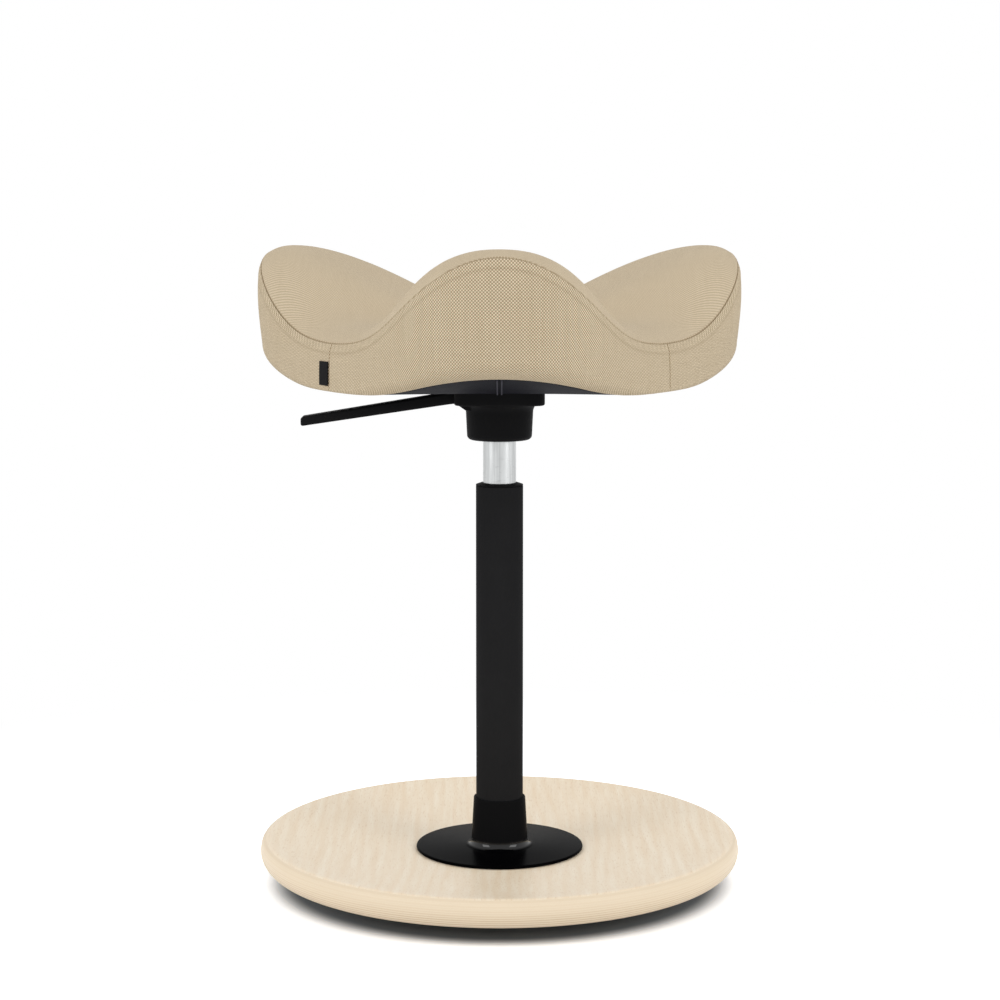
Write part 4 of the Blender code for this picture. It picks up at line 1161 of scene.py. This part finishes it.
head_high = plate_low + SCREW_HEAD_HEIGHT + GAP
head_low = head_high - SCREW_HEAD_HEIGHT
nut_top = shell_low + SHELL_THICK - GAP
shank_top = nut_top - T_NUT_FLANGE_THICK
thread_start = head_high + PLAIN_SHANK
screw_profile = rounded([
    (0.0, head_low, 0), (SCREW_HEAD_RADIUS, head_low, 0.0006),
    (SCREW_HEAD_RADIUS, head_high, 0.0001), (SCREW_RADIUS, head_high, 0),
    (SCREW_RADIUS, thread_start, 0), (0.0, thread_start, 0)], 3)[:-2]
screw_profile += thread(SCREW_RADIUS, thread_start, shank_top)
screw_profile += [(SCREW_RADIUS - 0.0005, shank_top), (0.0, shank_top)]
screw = turned("screw", screw_profile, 36, zinc)
combine(screw, turned("key", [
    (0.0, head_low - PAST), (KEY_RADIUS, head_low - PAST), (KEY_RADIUS, head_low + KEY_DEPTH),
    (0.0, head_low + KEY_DEPTH)], 6, zinc), "DIFFERENCE")
four_of("seat_screw", "seat_screws", screw, screw_circle)
t_nut = turned("t_nut", rounded([
    (SCREW_RADIUS + GAP, shell_low + GAP, 0.0001), (T_NUT_BARREL, shell_low + GAP, 0.0002),
    (T_NUT_BARREL, shank_top, 0), (T_NUT_FLANGE, shank_top, 0.0003),
    (T_NUT_FLANGE, nut_top, 0.0003), (SCREW_RADIUS + GAP, nut_top, 0.0003)], 3), 36, zinc)
four_of("t_nut", "t_nuts", t_nut, screw_circle)


# Seat cover. Tan basket-weave upholstery in four panels: one over the top, and one round the
# side of each lobe. The panels meet in a plain seam round the top edge and in an upright seam
# in each valley, and the hem is wrapped under the shell's rim.

YARN_PITCH = 0.00128
CLOTH_THICK = 0.0012
TOP_COLUMNS, TOP_ROWS = 289, 72
SIDE_COLUMNS, SIDE_ROWS = 145, 96
SIDE_RUN, CORNER_RUN = 0.62, 0.88
SEAM_SIZES = {
    "Seam Depth": 0.0013, "Seam Width": 0.0006, "Allowance": 0.0008, "Allowance Width": 0.0083,
    "Looseness": 0.00015}
FOLD_WIDTH = 0.0012
FOLD_SHADE = 0.26
SEAM_SETTLE = 0.004
TOP_STRETCH = (1.15, 1.4, 1.0)

cloth = Finish("basket_weave", {
    "Specular IOR Level": 0.05, "Sheen Weight": 0.06, "Sheen Roughness": 0.5})
weave = cloth.add("ShaderNodeAttribute", {"attribute_name": "weave"}, {}, "Vector")
blur = cloth.noise(weave, 260.0, 2.0, 0.6) * 0.0004
across, down, stretched = weave.split()
across = (across + blur) / YARN_PITCH
down = (down + blur) / YARN_PITCH
warp_wave = (across * math.pi).math("SINE")
weft_wave = (down * math.pi).math("SINE")
warp = warp_wave.math("ABSOLUTE") ** 0.5 * 0.5 + warp_wave.math("SIGN") * weft_wave * 0.5
weft = weft_wave.math("ABSOLUTE") ** 0.5 * 0.5 - weft_wave.math("SIGN") * warp_wave * 0.5
height = warp.math("MAXIMUM", weft)
yarn_number = cloth.point(across.math("FLOOR"), down.math("FLOOR"), 0.0)
each_warp = cloth.noise(cloth.vector("MULTIPLY", yarn_number, (0.37, 0.02, 0.0)), 1.0, 0.0)
each_weft = cloth.noise(cloth.vector("MULTIPLY", yarn_number, (0.02, 0.37, 0.0)), 1.0, 0.0)
fuzz = cloth.noise(weave, 2400.0, 2.0, 0.6)
mottle = cloth.noise(cloth.place(), 38.0, 3.0, 0.6)
on_warp = (warp - weft) * 3.0 + 0.5
warp_colour = cloth.mix(each_warp, swatch(228, 212, 184), swatch(242, 227, 200))
weft_colour = cloth.mix(each_weft, swatch(160, 140, 110), swatch(172, 152, 121))
yarn = cloth.mix(on_warp.math("MINIMUM", 1.0).math("MAXIMUM", 0.0), weft_colour, warp_colour)
# Painted shade: the colour darkens where the yarns dip, in the gaps between them.
painted_gap_shade = 1.0 - cloth.ease(height, 0.10, 0.62)
painted_seam_shade = cloth.add("ShaderNodeAttribute", {"attribute_name": "groove"}, {}, "Fac")
# Painted shade: the cloth's colour darkens along the seams' grooves and the allowance's fold line.
cloth.wear({
    "Base Color": cloth.layered(
        yarn, (cloth.ease(fuzz, 0.3, 0.8) * 0.16, (176, 156, 122)), (painted_gap_shade * 0.62, (132, 110, 78)),
        (cloth.ease(mottle, 0.35, 0.75) * 0.06, (176, 156, 120)),
        (stretched * 0.5, (207, 190, 163)), (painted_seam_shade * 0.8, (140, 118, 87))),
    "Roughness": 0.86 - height * 0.08,
    "Normal": cloth.bump((height + fuzz * 0.2) * (1.0 - stretched * 0.5), 0.00035)})


class Panel(Recipe):
    """A cloth panel laid by the saddle's rule. It starts as a flat grid, columns by rows."""

    def __init__(self, name):
        floats = {label: "Float" for label in {**SIZES, **SEAM_SIZES}}
        super().__init__(name, {
            **floats, "Columns": "Int", "Rows": "Int", "First Turn": "Float", "Last Turn": "Float",
            "Material": "Material"})
        self.rule = Saddle(**{attribute_name(label): self.given(label) for label in SIZES})
        rows = self.given("Rows")
        index = self.add("GeometryNodeInputIndex", {}, {})
        self.column = (index / rows).math("FLOOR")
        self.row = index - self.column * rows
        self.run = self.row / (rows - 1.0)
        self.grid = self.add(
            "GeometryNodeMeshGrid", {},
            {"Vertices X": self.given("Columns"), "Vertices Y": rows})

    def closeness(self, distance):
        """One on a seam, and falling to zero beside it."""
        return math.e ** -((distance / self.given("Seam Width")) ** 2.0)

    def lay(self, radius, height, turn, weave, groove):
        """Sets each point, stores the weave's own coordinates and finishes the mesh."""
        spot = self.around(radius, turn, height)
        lump = (self.noise(spot, 70.0, 2.0, 0.5) - 0.5) * self.given("Looseness") * 2.0
        spot = self.vector("ADD", spot, self.around(lump, turn, lump))
        laid = self.add("GeometryNodeSetPosition", {}, {"Geometry": self.grid, "Position": spot})
        stored = self.add(
            "GeometryNodeStoreNamedAttribute", {"data_type": "FLOAT_VECTOR", "domain": "POINT"},
            {"Geometry": laid, "Name": "weave", "Value": weave})
        # Stores the painted seam shade, which the cloth's colour reads.
        stored = self.add(
            "GeometryNodeStoreNamedAttribute", {"data_type": "FLOAT", "domain": "POINT"},
            {"Geometry": stored, "Name": "groove", "Value": groove})
        merged = self.add(
            "GeometryNodeMergeByDistance", {}, {"Geometry": stored, "Distance": 0.00001})
        flipped = self.add("GeometryNodeFlipFaces", {}, {"Mesh": merged})
        self.close(self.add("GeometryNodeSetShadeSmooth", {}, {"Geometry": flipped}))


top = Panel("top_panel")
first, last = top.given("First Turn"), top.given("Last Turn")
turn = first + top.column / (top.given("Columns") - 1.0) * (last - first)
share = 1.0 - (1.0 - top.run) ** 1.8
groove = top.closeness((1.0 - share) * top.rule.outline(turn))
tuck = groove * top.given("Seam Depth")
radius = share * top.rule.outline(turn) - tuck * 0.6
flat = top.vector("MULTIPLY", top.around(radius, turn, 1.0), TOP_STRETCH)
top.lay(radius, top.rule.top(share, turn) - tuck, turn, flat, groove)

side = Panel("side_panel")
first, last = side.given("First Turn"), side.given("Last Turn")


def spread(column):
    """Turn of a column. The columns crowd together towards the upright seams."""
    x = column / (side.given("Columns") - 1.0) * 2.0 - 1.0
    return (last + first) * 0.5 + (last - first) * 0.5 * (x * 1.5 - x * x * x * 0.5)


def rim_point(turn):
    return side.around(side.rule.outline(turn), turn)


turn = spread(side.column)
step = side.vector("DISTANCE", rim_point(turn), rim_point(spread(side.column - 1.0)), output=1)
length = side.add(
    "GeometryNodeAccumulateField", {"data_type": "FLOAT", "domain": "POINT"},
    {0: step, 1: side.row}, "Leading")
share = (side.run / SIDE_RUN).math("MINIMUM", 1.0) ** 1.5
bend = ((side.run - SIDE_RUN) / (CORNER_RUN - SIDE_RUN)).math("MAXIMUM", 0.0).math("MINIMUM", 1.0)
bend = bend * (math.pi / 2)
hem = ((side.run - CORNER_RUN) / (1.0 - CORNER_RUN)).math("MAXIMUM", 0.0) * side.given("Wrap")
radius, height = side.rule.side(share, turn)
below = side.rule.seam(turn) - height
to_end = (turn - first).math("MINIMUM", last - turn)
groove = side.closeness(below)
upright = side.closeness(to_end * side.given("Valley Radius"))
tuck = groove * side.given("Seam Depth")
allowance = side.given("Allowance") * math.e ** -((below / side.given("Allowance Width")) ** 4.0)
# Painted shade along the fold line where the allowance ends.
painted_fold_shade = math.e ** -(((below - side.given("Allowance Width")) / FOLD_WIDTH) ** 2.0) * FOLD_SHADE
settled = 1.0 - math.e ** -((below / SEAM_SETTLE) ** 2.0)
brim = side.rule.outline(turn)
radius = brim + (radius - brim + allowance) * settled
radius = radius - tuck * 0.6 - upright * side.given("Seam Depth")
corner = side.rule.corner(turn)
radius = radius - corner * (1.0 - bend.math("COSINE")) - hem
height = height - tuck - corner * bend.math("SINE")
flat = side.point(length, side.rule.side(share, turn)[1] - bend * corner - hem, 0.0)
side.lay(radius, height, turn, flat, groove.math("MAXIMUM", upright).math("MAXIMUM", painted_fold_shade))


def sewn(recipe, name, columns, rows, first, last, node):
    """Lays one panel, gives it the cloth's thickness inwards and puts it on the seat."""
    piece = recipe.make(name, {
        **SIZES, **SEAM_SIZES, "Columns": columns, "Rows": rows, "First Turn": first,
        "Last Turn": last, "Material": cloth.material})
    wall = piece.modifiers.new("wall", "SOLIDIFY")
    wall.thickness = CLOTH_THICK
    wall.offset = -1.0
    keep_shape(piece)
    stand_for(piece, node)


sewn(top, "top_cover", TOP_COLUMNS, TOP_ROWS, FRONT, FRONT + math.tau, "cover_top")
for k in range(3):
    middle = FRONT + math.tau / 3 * k
    sewn(
        side, f"side_cover_{k + 1}", SIDE_COLUMNS, SIDE_ROWS, middle - math.pi / 3,
        middle + math.pi / 3, f"cover_side_{k + 1}")


# Label tag. Plain black woven tape, folded into a loop and caught in the upright seam at the
# front left, where it lies flat on the side panel.

TAG_WIDTH = 0.0155
TAG_LOW = 0.0080
TAG_HIGH = 0.0275
TAG_THICK = 0.0008
TAG_BELLY = 0.0006

tape = Finish("black_tape", {"Roughness": 0.7, "Specular IOR Level": 0.05})
x, y, z = tape.place().split()
wales = ((x + y) * 9000.0).math("SINE") * (z * 9000.0).math("SINE")
tape.wear({
    "Base Color": tape.mix(wales * 0.5 + 0.5, swatch(14, 14, 15), swatch(30, 30, 31)),
    "Normal": tape.bump(wales, 0.00006)})

seam_turn = FRONT - math.pi / 3
top_z = saddle.seam(seam_turn)
bottom_z = saddle.edge(seam_turn) + saddle.corner(seam_turn)
outlines = []
for k in range(13):
    turn = seam_turn - TAG_WIDTH / saddle.valley_radius * (1 - k / 12)
    face = []
    for n in range(17):
        height = shell_low + TAG_HIGH + (TAG_LOW - TAG_HIGH) * n / 16
        share = min((top_z - height) / (top_z - bottom_z), 1.0)
        face.append((saddle.side(share, turn)[0], height))
    belly = TAG_BELLY * math.sin(math.pi * k / 24)
    near = [(r + GAP + belly * 0.5, z) for r, z in face]
    far = [(r + GAP + TAG_THICK + belly * 0.2, z) for r, z in face]
    outlines.append(about(far + near[::-1], turn))
bm = bmesh.new()
add_loft(bm, outlines)
tag = new_piece("plain_tag", bm, tape)
soften(tag, 0.00025, 3)
stand_for(tag, "label_tag")


# Studio. A white floor that fades into a white room. Two wide soft lamps in front and an even
# glow from above light the stool without hard shadows. A dark shadow is painted on the floor
# right under the dish.

FLOOR_REACH = 6.0
SHADE_WIDENING = 0.94
SHADE_INNER = 0.038
SHADE_OUTER = 0.012
FADE_START = 0.35
FADE_END = 0.8
WHITE = (1.0, 1.0, 1.0, 1.0)


def sight(graph):
    """One for the camera's rays and for what gloss or glass shows of the room, else zero."""
    path = graph.add("ShaderNodeLightPath", {}, {})
    mirrored = path.math("MAXIMUM", path.also("Is Glossy Ray"))
    return mirrored.math("MAXIMUM", path.also("Is Transmission Ray"))


floor_finish = Finish("white_floor", {"Roughness": 0.9, "Specular IOR Level": 0.0})
seen = sight(floor_finish)
white = floor_finish.add("ShaderNodeEmission", {}, {"Color": WHITE, "Strength": 1.0})
# Painted shadow: the floor's colour is dark under the dish and pale beyond its rim, for seen rays and
# for bounced light.
far = floor_finish.vector("LENGTH", floor_finish.stretched(SHADE_WIDENING, 1.0, 1.0), output=1)
clear_of_painted_shadow = floor_finish.ease(far, BASE_RADIUS - SHADE_INNER, BASE_RADIUS - SHADE_OUTER)
seen_with_painted_shadow = floor_finish.mix(clear_of_painted_shadow, (0.21, 0.234, 0.264, 1.0), (1.65, 1.7, 1.77, 1.0))
bounce_with_painted_shadow = floor_finish.mix(clear_of_painted_shadow, (0.2, 0.2, 0.2, 1.0), (0.86, 0.86, 0.86, 1.0))
floor_finish.wear({"Base Color": floor_finish.mix(seen, bounce_with_painted_shadow, seen_with_painted_shadow)})
fade = floor_finish.ease(far, FADE_START, FADE_END) * seen
blend = floor_finish.add(
    "ShaderNodeMixShader", {},
    {0: fade, 1: Flow(floor_finish, floor_finish.shader.outputs[0]), 2: white})
floor_finish.feed(floor_finish.tree.nodes["Material Output"].inputs["Surface"], blend)
bm = bmesh.new()
bmesh.ops.create_grid(bm, x_segments=1, y_segments=1, size=FLOOR_REACH)
floor = new_piece("floor", bm, floor_finish)

world = bpy.data.worlds.new("white_room")
bpy.context.scene.world = world
world.use_nodes = True
room = Graph(world.node_tree)
seen = sight(room)
upward = room.add("ShaderNodeTexCoord", {}, {}, "Generated").split()[2]
glow = room.ease(upward, 0.04, 0.40, 0.14, 1.03) - room.ease(upward, 0.55, 1.0, 0.0, 0.55)
background = world.node_tree.nodes["Background"]
room.feed(background.inputs["Strength"], glow + (1.0 - glow) * seen)
room.feed(background.inputs["Color"], WHITE)


lamp_aim = Vector((0.0, 0.0, 0.3))
for name, across in (("left", -2.25), ("right", 2.25)):
    light = bpy.data.lights.new(name, "AREA")
    light.shape = "SQUARE"
    light.size = 1.4
    light.energy = 20.0
    lamp = bpy.data.objects.new(name, light)
    lamp.location = (across, -1.4, 1.2)
    lamp.rotation_euler = (lamp_aim - lamp.location).to_track_quat("-Z", "Y").to_euler()
    bpy.context.scene.collection.objects.link(lamp)

camera_data = bpy.data.cameras.new("camera")
camera_data.lens = 82.247
camera_data.shift_y = -0.09
camera_data.sensor_width = 36.0
camera_data.clip_end = 50.0
camera = bpy.data.objects.new("camera", camera_data)
camera.location = (0.0004, -1.92325, 0.5617)
camera.rotation_euler = (math.radians(85.296), 0.0, 0.0)
bpy.context.scene.collection.objects.link(camera)
bpy.context.scene.camera = camera

bpy.context.scene.view_settings.view_transform = "Standard"
